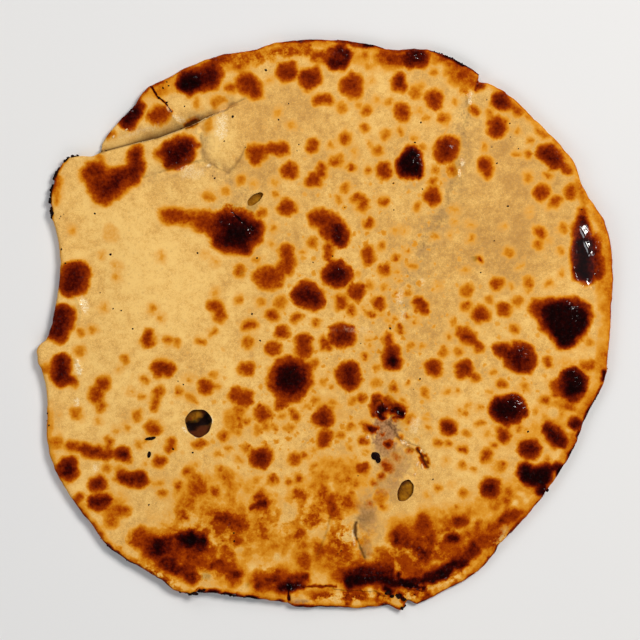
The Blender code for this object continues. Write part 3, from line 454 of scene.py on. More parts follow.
    (25, -32.8, 6, 4, -20, 0.9), (28.4, -33.6, 8, 5, -28, 0.86), (24.6, -30.6, 5, 3, -30, 0.7),
    (29.4, -34.6, 5, 3, -35, 0.95), (28.4, -36.6, 4.2, 2, 5, 0.82), (19.2, -41.2, 5.6, 2.6, -10, 0.94),
    (23, -43, 3.4, 1.2, -30, 0.66), (16.4, -40.4, 4.5, 3.6, 0, 0.64), (33.5, -37.5, 5, 6, -20, 0.38),
    (30.5, -29.8, 3, 2.2, 0, 0.4), (11, -30, 4, 3, 0, 0.45), (3, -30.5, 3, 3, 0, 0.45),
    (21, -23, 3, 4, 20, 0.4), (27.3, -25.3, 3.5, 3.5, 0, 0.6), (33, -23, 2, 1.5, 0, 0.4),
    (15, -57.8, 4.8, 4.8, 0, 0.74), (24.8, -57, 3.6, 4.6, 0, 0.76), (28.5, -53.2, 2.5, 2.5, 0, 0.55),
    (34, -50, 3, 2.6, 0, 0.72), (25.5, -47.8, 4.4, 3.8, -35, 0.86), (30.6, -44.6, 2.8, 2.4, 0, 0.5),
    (16.5, -51, 2, 2, 0, 0.4), (14.8, -46.3, 3.8, 3.4, 0, 0.66), (6, -43.8, 4.5, 3.5, 0, 0.55),
    (10.5, -41, 4, 3, 0, 0.5), (10, -49, 2.5, 2, 0, 0.4), (6, -55, 3, 2, 0, 0.35),
    (10.5, -55.5, 2, 2, 0, 0.35), (49.4, -40.6, 8, 6.4, 0, 0.9), (45, -47.3, 4, 3, 0, 0.5),
    (49.3, -47.5, 3, 2.8, 0, 0.5), (54.8, -49.7, 4.5, 3, 0, 0.65), (56.5, -43, 2.5, 3, 0, 0.5),
    (40.3, -27.5, 3, 3.5, 0, 0.5), (41.3, -40.8, 3, 1.8, 0, 0.4), (49, -26.3, 2, 2, 0, 0.4),
    (53, -27, 2, 1.5, 0, 0.3), (57.5, -32, 2.5, 1.5, 0, 0.35), (56.5, -35, 3, 2.5, 0, 0.4),
    (54, -34, 2, 2, 0, 0.35), (41, -37, 2, 1.5, 0, 0.3), (54.5, -56.3, 2.5, 2.5, 0, 0.55),
    (59, -57, 2, 2, 0, 0.5), (48.5, -55, 2.5, 2, 0, 0.3),
    # the lower right
    (75.5, -2, 4.5, 3, -25, 0.5), (78, -12.4, 12, 12.5, 0, 1), (71.5, -10, 9, 6, -20, 0.88),
    (79.5, -17, 7, 5, 0, 0.78), (89, -14, 3.5, 5.5, 0, 0.6), (67.5, -19, 3, 2.5, 0, 0.4),
    (71, -23.5, 4.5, 3.5, 0, 0.6), (79.5, -25, 3, 3, 0, 0.45), (66, -27, 2.5, 2, 0, 0.35),
    (62, -33.5, 2.3, 2, 0, 0.4), (73.2, -33.8, 16.4, 12, 14, 1.14), (88, -30, 4, 4.5, 0, 0.6),
    (99, -23.8, 11.5, 15, 0, 1.12), (92.5, -25, 5, 9, 0, 0.65), (98, -33, 6, 4, 0, 0.6),
    (105, -16, 7, 4, 0, 0.6), (105.5, -7, 3.5, 3.5, 0, 0.45), (96.4, 2.6, 17, 17, 0, 0.98),
    (97.4, 7.6, 12, 8, 0, 0.94), (97.4, 1, 15.5, 15, 0, 1.2), (96.6, -3, 9, 14, 0, 1.15),
    (92.6, -2.4, 16, 7.5, -42, 0.97), (100.2, -2.2, 15, 7.5, 50, 0.97), (103.4, 4.4, 8, 10, 0, 0.92),
    (90, 5, 13, 11, 15, 0.96), (91.5, 4.5, 9, 8, 0, 1.12), (84.8, 6.4, 6, 7, 0, 0.72),
    (111.5, -20, 2.5, 6, 0, 1.1), (100.2, -39.4, 7.5, 4.5, 32, 0.93), (99.5, -48, 2, 6, -25, 0.8),
    (84.5, -34.5, 2.5, 2, 0, 0.35), (77.5, -41, 3, 2.5, 0, 0.5), (62, -40, 4.5, 1.8, 0, 0.5),
    (71.3, -44, 6, 5.5, 0, 0.8), (64.5, -44, 2, 2, 0, 0.3), (91.8, -43.9, 14, 6.2, -49, 1),
    (81.8, -49.5, 9, 8, 0, 0.95), (65, -52.5, 5, 5, 0, 0.7), (67.5, -48.5, 3, 2.5, 0, 0.5),
    (70, -56, 3, 5, -20, 0.5), (89.5, -54, 3, 3, 0, 0.5), (66, -65.4, 9, 8.8, 0, 0.98),
    (84, -61.5, 13, 7, 0, 1.16), (92.5, -57.5, 6, 3.6, 42, 1), (80.8, -58.2, 8, 8, 0, 1.12),
    (87.5, -59.3, 9, 8, 20, 1.14), (86.8, -66.2, 5.4, 6.5, 0, 1.12), (73.5, -68.5, 3, 2, 0, 0.45),
    (79, -75.5, 3, 3, 0, 0.65), (67, -92, 4, 2, 50, 0.87),
    # the lower left
    (-91.4, -63.8, 8, 6, 0, 0.86), (-77.2, -61.6, 14, 7, 0, 0.9), (-84, -62, 3, 2, 0, 0.4),
    (-67, -63, 6, 2, 0, 0.35), (-65, -67.5, 3.2, 3.5, 0, 0.55), (-90.4, -70.9, 9.8, 6.6, -8, 0.96),
    (-81.5, -74.5, 6.5, 5, 0, 0.65), (-99, -70, 3, 8, -25, 0.7), (-91, -82, 3, 9, 40, 0.6),
    # the bottom, left of its middle
    (-58.5, -64.5, 3.5, 4, 0, 0.6), (-44, -66.5, 4, 4, 0, 0.65), (-38, -64, 3, 3, 0, 0.45),
    (-28, -61.5, 3, 3, 0, 0.45), (-21.5, -62, 4.5, 5, 0, 0.65), (-10.5, -62, 3, 3, 0, 0.6),
    (-14, -63, 2.5, 2.5, 0, 0.5), (-10, -67.5, 4.5, 5, 0, 0.7), (-22, -78.5, 3, 2, 0, 0.45),
    (-57, -75.5, 2.5, 3.5, 0, 0.55), (-23.5, -85, 4, 3, 0, 0.5), (-10.3, -84, 5, 5, 0, 0.7),
    # (30.2, -109.2) is painted shadow in a notch of the lower edge
    (10, -111.4, 1.6, 1.2, 0, 1), (21.5, -109.3, 1.2, 4.6, 0, 0.8), (30.2, -109.2, 4.8, 2.2, -25, 1.14),
    (47, -104.8, 2, 3, 0, 0.4), (40.5, -109.4, 5.4, 2.8, 20, 0.82), (36, -108.3, 4, 2.4, -30, 0.55),
    (55, -99, 1.2, 4, -10, 0.6),
    # the bottom, right of its middle
    (8.5, -62, 3.5, 3.5, 0, 0.55), (12.5, -64.5, 3, 3, 0, 0.5), (19, -63, 3, 3, 0, 0.6),
    (22.5, -60.5, 3, 3, 0, 0.7), (45.7, -64.5, 2.5, 2.2, 0, 0.5), (56, -67.3, 2.8, 2.8, 0, 0.55),
    (51, -64, 1.5, 1.5, 0, 0.3), (41.3, -68.3, 1.8, 1.8, 0, 0.35), (53, -72.8, 2, 1.8, 0, 0.45),
    (47, -75.2, 3, 1.5, 0, 0.35), (47.5, -80.4, 3.6, 3, 0, 0.5), (57.5, -73.5, 3, 2, 0, 0.35),
    (61, -79.6, 3.8, 3.6, 0, 0.6), (57, -82.5, 3, 2.5, 0, 0.4), (18, -71.3, 2.5, 2, 0, 0.55),
    (23, -73, 3, 3.5, 0, 0.5), (54.3, -78.2, 7.2, 5.2, 15, 0.86), (51.3, -85.8, 6.8, 5.4, 0, 1.02),
    (46.5, -88, 4, 3, 0, 0.42), (49, -92, 3, 2, 0, 0.4),
)

# Cloudy browned patches with wide soft edges: x, y, width, height, turn, strength
SOFT_PATCHES = (
    # the lower left
    (-67, -89, 20, 17, -10, 0.9), (-66, -88.5, 10, 13, -15, 0.96), (-62.5, -95.5, 11, 12, -30, 0.94),
    (-56, -99, 15, 8, -20, 0.88), (-52.5, -86.5, 19, 13, 0, 0.9), (-52, -86.5, 12, 8, 0, 0.95),
    (-59.5, -88, 12, 13, 0, 0.82), (-74, -85.5, 8, 11, 0, 0.7), (-56, -91, 36, 24, -20, 0.54),
    (-50, -95, 20, 13, -20, 0.66), (-39.5, -97.5, 12, 13, 0, 0.72), (-37, -101, 9, 7, 30, 0.88),
    (-43.5, -95, 9, 5, 20, 0.66), (-40.5, -77, 11, 8, 0, 0.76), (-35, -80.5, 12, 9, -30, 0.64),
    (-40, -79, 26, 17, -10, 0.54), (-31, -85, 13, 8, 0, 0.45), (-25.4, -72.4, 5.5, 5.5, 0, 0.88),
    (-25, -72.5, 15, 15, 0, 0.5), (-26, -68.3, 5.5, 5, 0, 0.68), (-28.6, -72.6, 4, 3, 0, 0.74),
    (-51, -66, 11, 9, 0, 0.64), (-55, -71, 9, 8, 0, 0.48), (-57, -76, 4, 7, 0, 0.58),
    (-52, -61.5, 7, 5, 0, 0.5), (-40, -60, 9, 9, 0, 0.42), (-48, -72, 18, 13, 0, 0.3),
    (-36.5, -38, 11, 12, 0, 0.4), (-86, -77, 9, 10, 0, 0.5), (-18.5, -102.5, 28, 12, 4, 0.78),
    (-15.5, -103.6, 15, 9, 0, 0.94), (-12.5, -105, 8, 3, 0, 1.0), (-10, -101, 8, 6, 0, 0.82),
    # the bottom and the lower right
    (11.5, -103.3, 11, 6.5, 0, 1.16), (17.5, -101.3, 30, 11, 0, 0.92), (21.5, -103, 22, 6.5, 0, 1.03),
    (20, -98, 19, 8, 5, 0.86), (13, -99, 13, 8, 0, 0.8), (6, -101, 8, 9, 0, 0.7),
    (35, -103, 15, 5, -6, 1.04), (25.5, -106.4, 5, 5, 0, 1.12), (24, -93.5, 13, 7, 0, 0.56),
    (43.5, -101, 11, 6.8, 22, 1.08), (48.5, -98.3, 11, 7.4, 28, 1.06), (53.5, -94.8, 10, 7, 32, 1.02),
    (59, -90, 11, 8, 40, 0.88), (64, -86, 10, 7, 40, 0.7), (35, -97, 15, 13, 0, 0.64),
    (37.5, -99.5, 7, 6, 0, 0.74), (30.5, -95, 9, 7, 0, 0.5), (33.5, -86.5, 22, 11, -14, 0.74),
    (40, -91, 9, 9, 0, 0.86), (29.5, -83, 8, 8, 0, 0.5), (39.5, -80, 8.5, 12, 0, 0.7),
    (42, -85, 9, 9, 0, 0.66), (26.5, -85.5, 8, 7, 0, 0.5), (35, -85, 30, 21, -8, 0.5),
    (73.5, -76.8, 11, 6, 32, 0.78), (68.5, -81.4, 9, 6, 40, 0.62), (65.6, -86.5, 8, 5, 45, 0.52),
    (-8, -94.5, 7, 9, 10, 0.64), (-9, -88, 7, 6, 0, 0.5), (1, -91, 10, 5, 0, 0.5),
    (12, -95, 9, 7, 0, 0.6), (4, -96, 12, 7, 0, 0.46), (-4, -76, 11, 14, 0, 0.6),
    (3, -72.5, 4, 9, 0, 0.68), (10, -70, 8, 9, 0, 0.6), (-1, -69, 5, 8, 0, 0.6), (-6, -79, 8, 5, 0, 0.5),
    (22.5, -69, 7, 6, 0, 0.44), (10, -108, 5, 6, 0, 0.6),
    # the upper edge
    (-44, 105, 24, 7, 20, 0.48), (-30, 108, 26, 7, 10, 0.42), (-14, 110.5, 16, 6, 0, 0.5),
    (25, 106, 14, 9, 0, 0.6), (54, 100, 16, 8, -25, 0.5), (-66, 96, 12, 8, 30, 0.36),
)

# Broad mottled browning: x, y, width, height, turn, strength
GOLDEN_ZONES = (
    (-30, -84, 80, 56, 0, 0.38), (4, -66, 36, 36, 0, 0.38), (46, -87, 60, 34, 15, 0.62),
    (-35, -37, 14, 16, 0, 0.16), (-88, -72, 26, 30, 35, 0.26), (78, -72, 36, 30, 0, 0.46),
    (98, -30, 30, 56, -10, 0.28), (0, -30, 90, 60, 0, 0.10), (-56, -90, 44, 30, -15, 0.4),
    (20, 106, 60, 14, -5, 0.24), (-30, 106, 50, 12, 15, 0.36), (4, -92, 32, 24, 0, 0.46),
    (10, -108.5, 60, 10, 0, 0.62), (76, -44, 50, 44, 0, 0.14), (-60, 97, 24, 14, 20, 0.2),
    (110, 22, 8, 50, 0, 0.3), (-50, -66, 40, 20, 0, 0.24), (-106, -45, 10, 40, 0, 0.14),
)
# Where the browning is blotchy: x, y, width, height, turn, strength
MOTTLED = (
    (-48, -88, 60, 44, 0, 0.24), (34, -86, 50, 22, 0, 0.24), (-20, -75, 50, 40, 0, 0.14),
    (-20, -103, 40, 14, 0, 0.3), (70, -78, 30, 20, 40, 0.3), (0, 108, 120, 14, 0, 0.3),
    (24, -38, 26, 30, 0, 0.35), (100, -30, 20, 60, 0, 0.2),
)
# Crumbly, speckled crust: x, y, width, height, turn, amount
CRUSTY = (
    (8, -109, 50, 7, 0, 1.0), (34, -108, 20, 8, 15, 0.9), (50, -102, 26, 7, 28, 0.7),
    (70, -86, 16, 8, 45, 1.0), (-66, -101, 30, 6, -32, 0.9), (-48, -101, 14, 6, 10, 0.9),
    (-80, -88, 16, 12, 40, 0.4), (-80, 77, 14, 4, 30, 0.5), (22, -45, 18, 30, 0, 0.4),
    (8, -84, 18, 22, 0, 0.7), (48, 58, 10, 40, 20, 0.4), (30, 10, 8, 26, 0, 0.6),
    (-38, 48, 24, 8, 0, 0.7), (40, -54, 8, 16, 0, 0.5), (56, 94, 12, 8, 0, 0.5),
    (-56, 62, 26, 8, 10, 0.4), (34, 58, 14, 5, 0, 0.6), (-24, -98, 20, 10, 0, 0.4),
    (-48, -84, 60, 40, 0, 0.45), (34, -92, 60, 26, 10, 0.45), (-10, -76, 50, 30, 0, 0.45),
    (-20, 108, 70, 10, 8, 0.5),
)
# Cream places inside the golden ones
CREAM_PATCHES = (
    (-44, -71, 16, 8, 0, 0.9), (-53, -79, 6, 5, 0, 0.8), (-40, -84, 4, 5, 0, 0.7),
    (-25, -90, 15, 11, 0, 0.5), (-29, -97, 11, 7, 0, 0.6), (-5, -82, 8, 14, 0, 0.8),
    (-18, -66, 8, 6, 0, 0.7), (-56, -103, 8, 3, 0, 0.9), (91.5, -35, 7, 8, 0, 1.0),
    (27, -93, 6, 4, 20, 0.6), (44, -95, 5, 3, 20, 0.6), (23, -84, 5, 10, 0, 0.7),
    (-31, -72, 5, 9, 20, 0.6), (-12, -72, 6, 9, -20, 0.6), (-17, -84, 7, 6, 0, 0.6),
    (4, -80, 5, 8, 0, 0.6), (-34, -90, 8, 5, 0, 0.6), (53, -100, 7, 4, 25, 1.0),
    (43, -105, 12, 3, 27, 0.7), (12, -88, 6, 12, 0, 0.5), (-49, -92, 4, 2.5, 0, 0.7),
)
# Paler, fuller cream (negative) and duller tan (positive): x, y, width, height, turn, amount
TONES = (
    (-62, 22, 100, 90, 0, -0.5), (-45, 74, 40, 26, 0, -0.7), (74, 45, 76, 100, -15, 0.75),
    (50, -5, 50, 60, 0, 0.25), (-20, 88, 60, 26, 10, 0.35), (-85, -25, 60, 60, 0, -0.3),
    (60, -50, 60, 60, 0, -0.2), (0, 60, 60, 50, 0, 0.3), (18, -72, 14, 30, 0, 0.9),
    (27, -58, 13, 22, -10, 0.7), (-28, 28, 34, 40, 0, 0.35), (-70, -60, 40, 30, 0, 0.1),
    (-28, 66, 30, 38, 0, 0.8), (-60, -10, 60, 60, 0, -0.1), (32, 24, 26, 60, -15, 0.45),
    (60, 28, 40, 30, 0, 0.4), (42, -60, 22, 22, 0, 0.4),
)
# Greyish speckled bands along the creases: the points, the half-width and the strength
GREY_BANDS = (
    (
        ((58.0, 90.0), (55.0, 80.0), (51.0, 56.0), (46.0, 42.0), (39.0, 32.0), (34.0, 22.0), (30.0, 4.0)),
        5.0, 0.9,
    ),
    (((-50.0, 80.0), (-49.0, 70.0), (-49.0, 65.0), (-40.0, 60.0), (-32.0, 52.0)), 4.0, 0.8),
    (((-50.0, 66.0), (-60.0, 62.0), (-72.0, 59.0)), 3.0, 0.6),
    (((24.0, -28.0), (26.0, -42.0), (24.0, -56.0), (19.0, -68.0), (15.0, -80.0), (15.0, -92.0)), 6.0, 0.8),
    (((30.0, 62.0), (34.0, 56.0), (40.0, 60.0)), 3.0, 0.7),
    (((-46.0, 46.0), (-38.0, 47.0), (-27.0, 48.0)), 3.0, 0.5),
    (((-4.0, -88.0), (4.0, -86.0), (8.0, -80.0)), 5.0, 0.5),
)

# Browning along the edge: from and to angle in degrees, the golden band's width and strength, and the
# strength of the thin dark line at the very edge
RIM_BROWNING = (
    (-12, 24, 4.5, 0.42, 0.62), (24, 58, 3.0, 0.30, 0.42), (58, 70, 4.5, 0.62, 1.1),
    (70, 84, 2.5, 0.42, 0.75), (84, 100, 3.5, 0.36, 0.75), (100, 121, 5.0, 0.42, 0.66),
    (121, 136, 2.5, 0.30, 0.62), (148, 158, 1.0, 0.10, 0.7), (158, 196, 1.0, 0.08, 0.15),
    (196, 214, 3.0, 0.30, 0.45), (214, 242, 3.0, 0.42, 0.95), (242, 262, 2.5, 0.45, 1.05),
    (262, 292, 2.5, 0.45, 0.95), (292, 325, 3.5, 0.46, 0.85), (325, 348, 4.0, 0.55, 1.1),
)

# Places with a thicker film of oil: x, y, width, height, turn, amount
GLOSSY = (
    (103.5, 28, 13, 38, 4, 2.4), (4, 107, 14, 8, 0, 0.7), (92.5, 65.5, 10, 6, -45, 0.7),
    (-97, 12, 6, 26, 5, 0.6), (-98, -20, 6, 20, 5, 0.6), (-106, -17, 10, 16, 0, 0.8),
    (-106, 1, 8, 16, -15, 0.5), (84, -61, 14, 6, -10, 0.4), (34.8, 64.5, 8, 8, 0, 0.4),
    (-53, 97, 9, 5, 12, 0.6), (74, -33, 8, 7, 0, 0.3), (48, -98, 20, 8, 25, 0.8),
    (22, -102, 22, 8, 0, 0.7), (-84, -76, 8, 16, 30, 0.5), (71, -85, 10, 6, 45, 0.6),
    (58, 91, 3, 6, 0, 0.5), (36, 107, 8, 5, 0, 0.5), (-94, -62, 4, 14, 30, 0.5),
)
# Where small golden freckles lie thickly (positive) or hardly at all (negative)
FRECKLED = (
    (0, 0, 300, 300, 0, 0.5), (20, 10, 90, 150, 0, 0.5), (-58, 25, 80, 66, 0, -0.85),
    (80, -20, 60, 90, 0, 0.4), (-20, -45, 90, 60, 0, 0.5), (-60, 80, 60, 40, 30, -0.3),
    (66, 46, 36, 40, 0, -0.25),
)

# Gaps between the lumps of potato that show through the round hole, sunk and darkened with painted shade: x,
# y, width, height, turn
VOIDS = ((-53.6, -40.4, 9.0, 5.8, 18), (-48.4, -38.6, 9.6, 6.0, 16), (-47.4, -36.6, 4.0, 5.0, 0))
# Dark red lumps there: x, y, width, height, turn
RED_LUMPS = ((-50.0, -42.8, 18.0, 11.0, 6), (-47.2, -35.0, 10.0, 9.0, 40))
HOLE_SHADES = (0.8, 0.9, 0.25)      # how dark the shade of the skin is in each burst hole
HOLE_LIFTS = (0.0, 0.2, 0.2)        # how far the filling bulges up into each, in millimetres
VOID_DEPTH = 1.2            # of the gaps below the filling's top
MASH_LOWERING = 0.18        # keeps the filling's lumps under the skin

# Grids of points
DETAIL_CELLS = 222          # squares across the top's grid
UNDERSIDE_CELLS = 90        # squares across the underside's grid
UNDERSIDE_INSET = 3.0       # how far in from the outline the underside's squares begin
HOLLOW_CELLS = 44           # squares across the hollow's grid
MASH_CELLS = 150            # squares across the filling's grid
UNDERSIDE_MARK = 2.0        # marks the underside's own points
EDGE_MARK, BASE_MARK = 1.0, 2.0         # mark the rings of points round the filling's edge
THINNEST_SKIN = 0.45        # dough left above the hollow in the deepest folds and tears
# The rounded edge
RIM_RINGS = 7               # rings of points down the rounded edge
RIM_GAP = 0.4               # width of the strip between the last ring and the underside's squares
UNDER_ROUNDING = 0.9        # how far in from the outline the rounded edge ends underneath
WIDEST_SHARE = 0.45         # share of the edge's height at which it reaches furthest out
SQUARENESS = 0.85           # 1 makes the edge's upper half a quarter of an ellipse, less makes it squarer
# The burst holes and the cracks
LIP_HEIGHT, LIP_WIDTH, LIP_OUTSIDE = 0.22, 0.7, 0.5     # of the raised lip round a large burst hole
HOLE_SIDES = 56             # sides of the punch that makes a burst hole
HOLE_FLARE = 1.06           # how much wider a hole is at the punch's top
HOLE_CUT_FLOOR = 2.5        # the holes are punched from above down to this height, inside the hollow
HOLE_CUT_TOP = 8.4          # above the highest blister
BLADE_STEP = 0.9            # between the points along a crack
BLADE_TOP = 12.0            # cracks are cut from this height down
BLADE_SHIFT = 0.22          # how far a crack strays to either side
# Browned spots
SPOT_TAPER = 0.55           # how much a long spot narrows towards its ends
EDGE_SHARE = 0.74           # share of a spot's browning that is reached just inside its edge
EDGE_OUTSIDE, EDGE_INSIDE = 1.7, 0.8        # how far the edge's rise lies outside and inside of it
CORE_REACH = 5.0            # how far inside a large spot its darkest level is reached
CORE_SHARE = 0.85           # share of a small spot's half-size inside which its darkest level is reached
HALO_LEVEL = 0.15           # browning of the faint halo round a spot
HALO_REACH, HALO_START = 3.6, 0.3       # how far outside the edge the halo ends and is full
SPOT_MARGIN = 4.0           # no spot reaches further than this outside its edge
UNION_POWER = 5             # how firmly the darkest of overlapping spots prevails
BLACKEST = 1.17             # the darkest that the top gets
SOFT_OUTSIDE = 2.0          # how far outside its edge the browning of a soft patch begins
SOFT_INSIDE = 0.75          # share of its half-size inside which it is full
LEAST_SOFT_INSIDE = 1.2     # but at least this far inside
UNDERSIDE_SPOTS = 230       # how many the underside has
UNDERSIDE_REACH = 112.0     # how far from the bread's middle they lie
# Browning along the edge, and where the skin counts as outside
BAND_FADE = (0.3, 1.5)      # shares of its width between which the edge's golden band fades out
LINE_FADE = (0.3, 1.5)      # distances from the outline between which the edge's dark line fades out
RIM_BLEND = 3.0             # degrees on either side over which two stretches of the edge blend
RIM_BAND = 2.2              # how far in from the outline the edge's skin reaches
TOP_BAND, LOW_BAND = 0.25, 0.35         # how far skin reaches below the top and above the underside

NOISE_SIDE = 256            # squares along one side of the table that the noise draws from
# Layers of noise: for each the height, the size of its features in millimetres and its seed
OUTLINE_WOBBLE = ((0.28, 3.4, 11), (0.16, 1.6, 12))
RAGGED_WOBBLE = ((0.5, 1.5, 13),)
ROUGH_EDGES = ((1.0, 1.3, 21),)
FINE_RELIEF = ((0.11, 7.0, 22), (0.07, 3.6, 23), (0.035, 1.9, 24))
CRUMBLY_RELIEF = ((0.14, 1.6, 25), (0.08, 1.3, 21))
WRINKLED_RELIEF = ((0.07, 2.6, 26),)
MASH_RELIEF = ((0.10, 5.0, 61), (0.12, 2.2, 62))
VOID_EDGES = ((0.14, 1.5, 63),)
SHADE_EDGES = ((0.25, 1.8, 64),)
LINE_EDGES = ((0.5, 2.2, 47), (0.35, 1.0, 50))
PATCH_EDGES = ((0.28, 1.4, 48), (0.22, 0.7, 49))
BAND_EDGES = ((0.9, 3.6, 56),)
MOTTLE = ((0.35, 8.0, 55), (0.45, 4.0, 51), (0.40, 2.1, 52))
BLOTCHES = ((0.8, 3.4, 53), (0.5, 1.6, 54))
# Layers that push places to and fro, first along x and then along y
WANDER = (((0.45, 3.2, 27),), ((0.45, 3.2, 28),))
SPOT_WARP = (
    ((0.85, 5.5, 41), (0.6, 2.4, 42), (0.25, 1.1, 45)),
    ((0.85, 5.5, 43), (0.6, 2.4, 44), (0.25, 1.1, 46)),
)
PATCH_WARP = (((1.2, 6.0, 71), (0.9, 2.8, 72)), ((1.2, 6.0, 73), (0.9, 2.8, 74)))
# Low bubbles of the underside: height, the noise's level where they begin, its features' size and its seed
BUBBLES = ((0.10, 0.0, 6.0, 31), (0.05, 0.1, 2.6, 32))


def srgb(red, green, blue):
    """A colour as a screen shows it, 0 to 255, turned into the linear values that the shader takes."""
    shares = [value / 255.0 for value in (red, green, blue)]
    return tuple(s / 12.92 if s <= 0.04045 else ((s + 0.055) / 1.055) ** 2.4 for s in shares) + (1.0,)


# ---------------------------------------------------------------- working with places
def smooth_step(low, high, value):
    """0 below low, 1 above high, and a smooth rise between them."""
    share = np.clip((value - low) / (high - low), 0.0, 1.0)
    return share * share * (3.0 - 2.0 * share)


def noise(x, y, cell, seed):
    """Smooth noise from -1 to 1 with features about as large as a cell, the same for the same seed."""
    table = np.random.default_rng(seed).uniform(-1.0, 1.0, (NOISE_SIDE, NOISE_SIDE))
    turn = 0.7 * seed
    u = (x * math.cos(turn) - y * math.sin(turn)) / cell + NOISE_SIDE / 2
    v = (x * math.sin(turn) + y * math.cos(turn)) / cell + NOISE_SIDE / 2
    i, j = np.floor(u).astype(int), np.floor(v).astype(int)
    s, t = smooth_step(0.0, 1.0, u - i), smooth_step(0.0, 1.0, v - j)
    i, j, i2, j2 = i % NOISE_SIDE, j % NOISE_SIDE, (i + 1) % NOISE_SIDE, (j + 1) % NOISE_SIDE
    low = table[i, j] * (1.0 - s) + table[i2, j] * s
    high = table[i, j2] * (1.0 - s) + table[i2, j2] * s
    return low * (1.0 - t) + high * t


def layered_noise(x, y, layers):
    """Noises added up, each with its height, the size of its features and its seed."""
    return sum(height * noise(x, y, cell, seed) for height, cell, seed in layers)


def shifted(x, y, warp):
    """Places pushed to and fro, so that what is drawn through them wavers or turns ragged."""
    return x + layered_noise(x, y, warp[0]), y + layered_noise(x, y, warp[1])


def bell(value, width):
    """1 where a value is 0, falling smoothly to about a third where it is as large as the width."""
    return np.exp(-(value / width) ** 2)


def turned(x, y, degrees):
    """Places on axes turned anticlockwise by some degrees."""
    cos, sin = math.cos(math.radians(degrees)), math.sin(math.radians(degrees))
    return x * cos + y * sin, y * cos - x * sin


def in_oval(x, y, centre_x, centre_y, width, height, turn):
    """A place as shares of an oval's half-width and half-height, along its own two axes."""
    along, across = turned(x - centre_x, y - centre_y, turn)
    return along / (width / 2.0), across / (height / 2.0)


def mound(x, y, *oval):
    """1 at the middle of an oval, falling smoothly to about 0.1 at its edge."""
    along, across = in_oval(x, y, *oval)
    return np.exp(-2.2 * (along * along + across * across))


def depth_in_oval(x, y, centre_x, centre_y, width, height, turn):
    """About how far inside an oval's edge a place is, in millimetres, and below 0 outside it."""
    along, across = in_oval(x, y, centre_x, centre_y, width, height, turn)
    steepness = np.hypot(along / (width / 2.0), across / (height / 2.0)) + 1e-6
    return np.minimum((1.0 - along ** 2 - across ** 2) / (2.0 * steepness), min(width, height) / 2.0)


def depth_in_spot(x, y, centre_x, centre_y, width, height, turn):
    """How far inside the edge of a long rounded spot a place is, in millimetres, and below 0 outside it."""
    along, across = turned(x - centre_x, y - centre_y, turn)
    if height > width:
        along, across, width, height = across, along, height, width
    radius = height / 2.0
    core = width / 2.0 - radius
    away = np.hypot(np.maximum(np.abs(along) - core, 0.0), across)
    taper = 1.0 - SPOT_TAPER * (2.0 * along / width) ** 2 * (1.0 - height / width)
    return radius * taper - away


def beside_path(x, y, path):
    """Distance to a path of straight runs, positive on its left, and how far past its ends a place is."""
    nearest = np.full_like(x, np.inf)
    side = np.ones_like(x)
    beyond = np.zeros_like(x)
    for i, ((ax, ay), (bx, by)) in enumerate(zip(path, path[1:])):
        run_x, run_y = bx - ax, by - ay
        length = math.hypot(run_x, run_y)
        share = ((x - ax) * run_x + (y - ay) * run_y) / (length * length)
        held = np.clip(share, 0.0, 1.0)
        distance = np.hypot(x - ax - held * run_x, y - ay - held * run_y)
        past = np.zeros_like(x)
        if i == 0:
            past = np.maximum(past, -share * length)
        if i == len(path) - 2:
            past = np.maximum(past, (share - 1.0) * length)
        closer = distance < nearest
        nearest = np.where(closer, distance, nearest)
        side = np.where(closer, np.where(run_x * (y - ay) - run_y * (x - ax) < 0.0, -1.0, 1.0), side)
        beyond = np.where(closer, past, beyond)
    return nearest * side, beyond


def fold(x, y, path, half_width):
    """1 along the middle of a path, falling smoothly beside it and past its ends."""
    distance, beyond = beside_path(x, y, path)
    return np.exp(-(distance / half_width) ** 2 - (beyond / half_width) ** 2)


# ---------------------------------------------------------------- the bread's surfaces
def outline_knots():
    """Angle, radius and slope at each outline point, with one turn repeated on either side."""
    points = np.array(OUTLINE)
    angles = np.unwrap(np.arctan2(points[:, 1], points[:, 0]))
    radii = np.hypot(points[:, 0], points[:, 1])
    angles = np.concatenate([angles - math.tau, angles, angles + math.tau])
    radii = np.tile(radii, 3)
    steps = np.diff(radii) / np.diff(angles)
    before, after = steps[:-1], steps[1:]
    slopes = np.zeros_like(radii)
    same_way = before * after > 0
    slopes[1:-1][same_way] = 2.0 * before[same_way] * after[same_way] / (before + after)[same_way]
    return angles, radii, slopes


KNOT_ANGLES, KNOT_RADII, KNOT_SLOPES = outline_knots()
RAGGED_FROM, RAGGED_TO = math.radians(146), math.radians(159)   # the charred stretch at the upper left
RAGGED_FADES = (0.02, 0.05)     # angles over which it begins and ends


def outline_radius(angle):
    """The outline's radius at an angle: a smooth curve through its points, with a fine wobble."""
    i = np.searchsorted(KNOT_ANGLES, angle) - 1
    width = KNOT_ANGLES[i + 1] - KNOT_ANGLES[i]
    t = (angle - KNOT_ANGLES[i]) / width
    start, end = KNOT_RADII[i], KNOT_RADII[i + 1]
    pull = (KNOT_SLOPES[i] * (t - 1.0) + KNOT_SLOPES[i + 1] * t) * width * t * (t - 1.0)
    radius = start + (end - start) * t * t * (3.0 - 2.0 * t) + pull
    x, y = radius * np.cos(angle), radius * np.sin(angle)
    ragged = smooth_step(RAGGED_FROM - RAGGED_FADES[0], RAGGED_FROM, angle)
    ragged = ragged - smooth_step(RAGGED_TO, RAGGED_TO + RAGGED_FADES[1], angle)
    wobble = layered_noise(x, y, OUTLINE_WOBBLE) + ragged * layered_noise(x, y, RAGGED_WOBBLE)
    return radius + wobble


def inset_and_angle(x, y):
    """How far in from the outline a place is, and its angle."""
    angle = np.arctan2(y, x)
    return outline_radius(angle) - np.hypot(x, y), angle


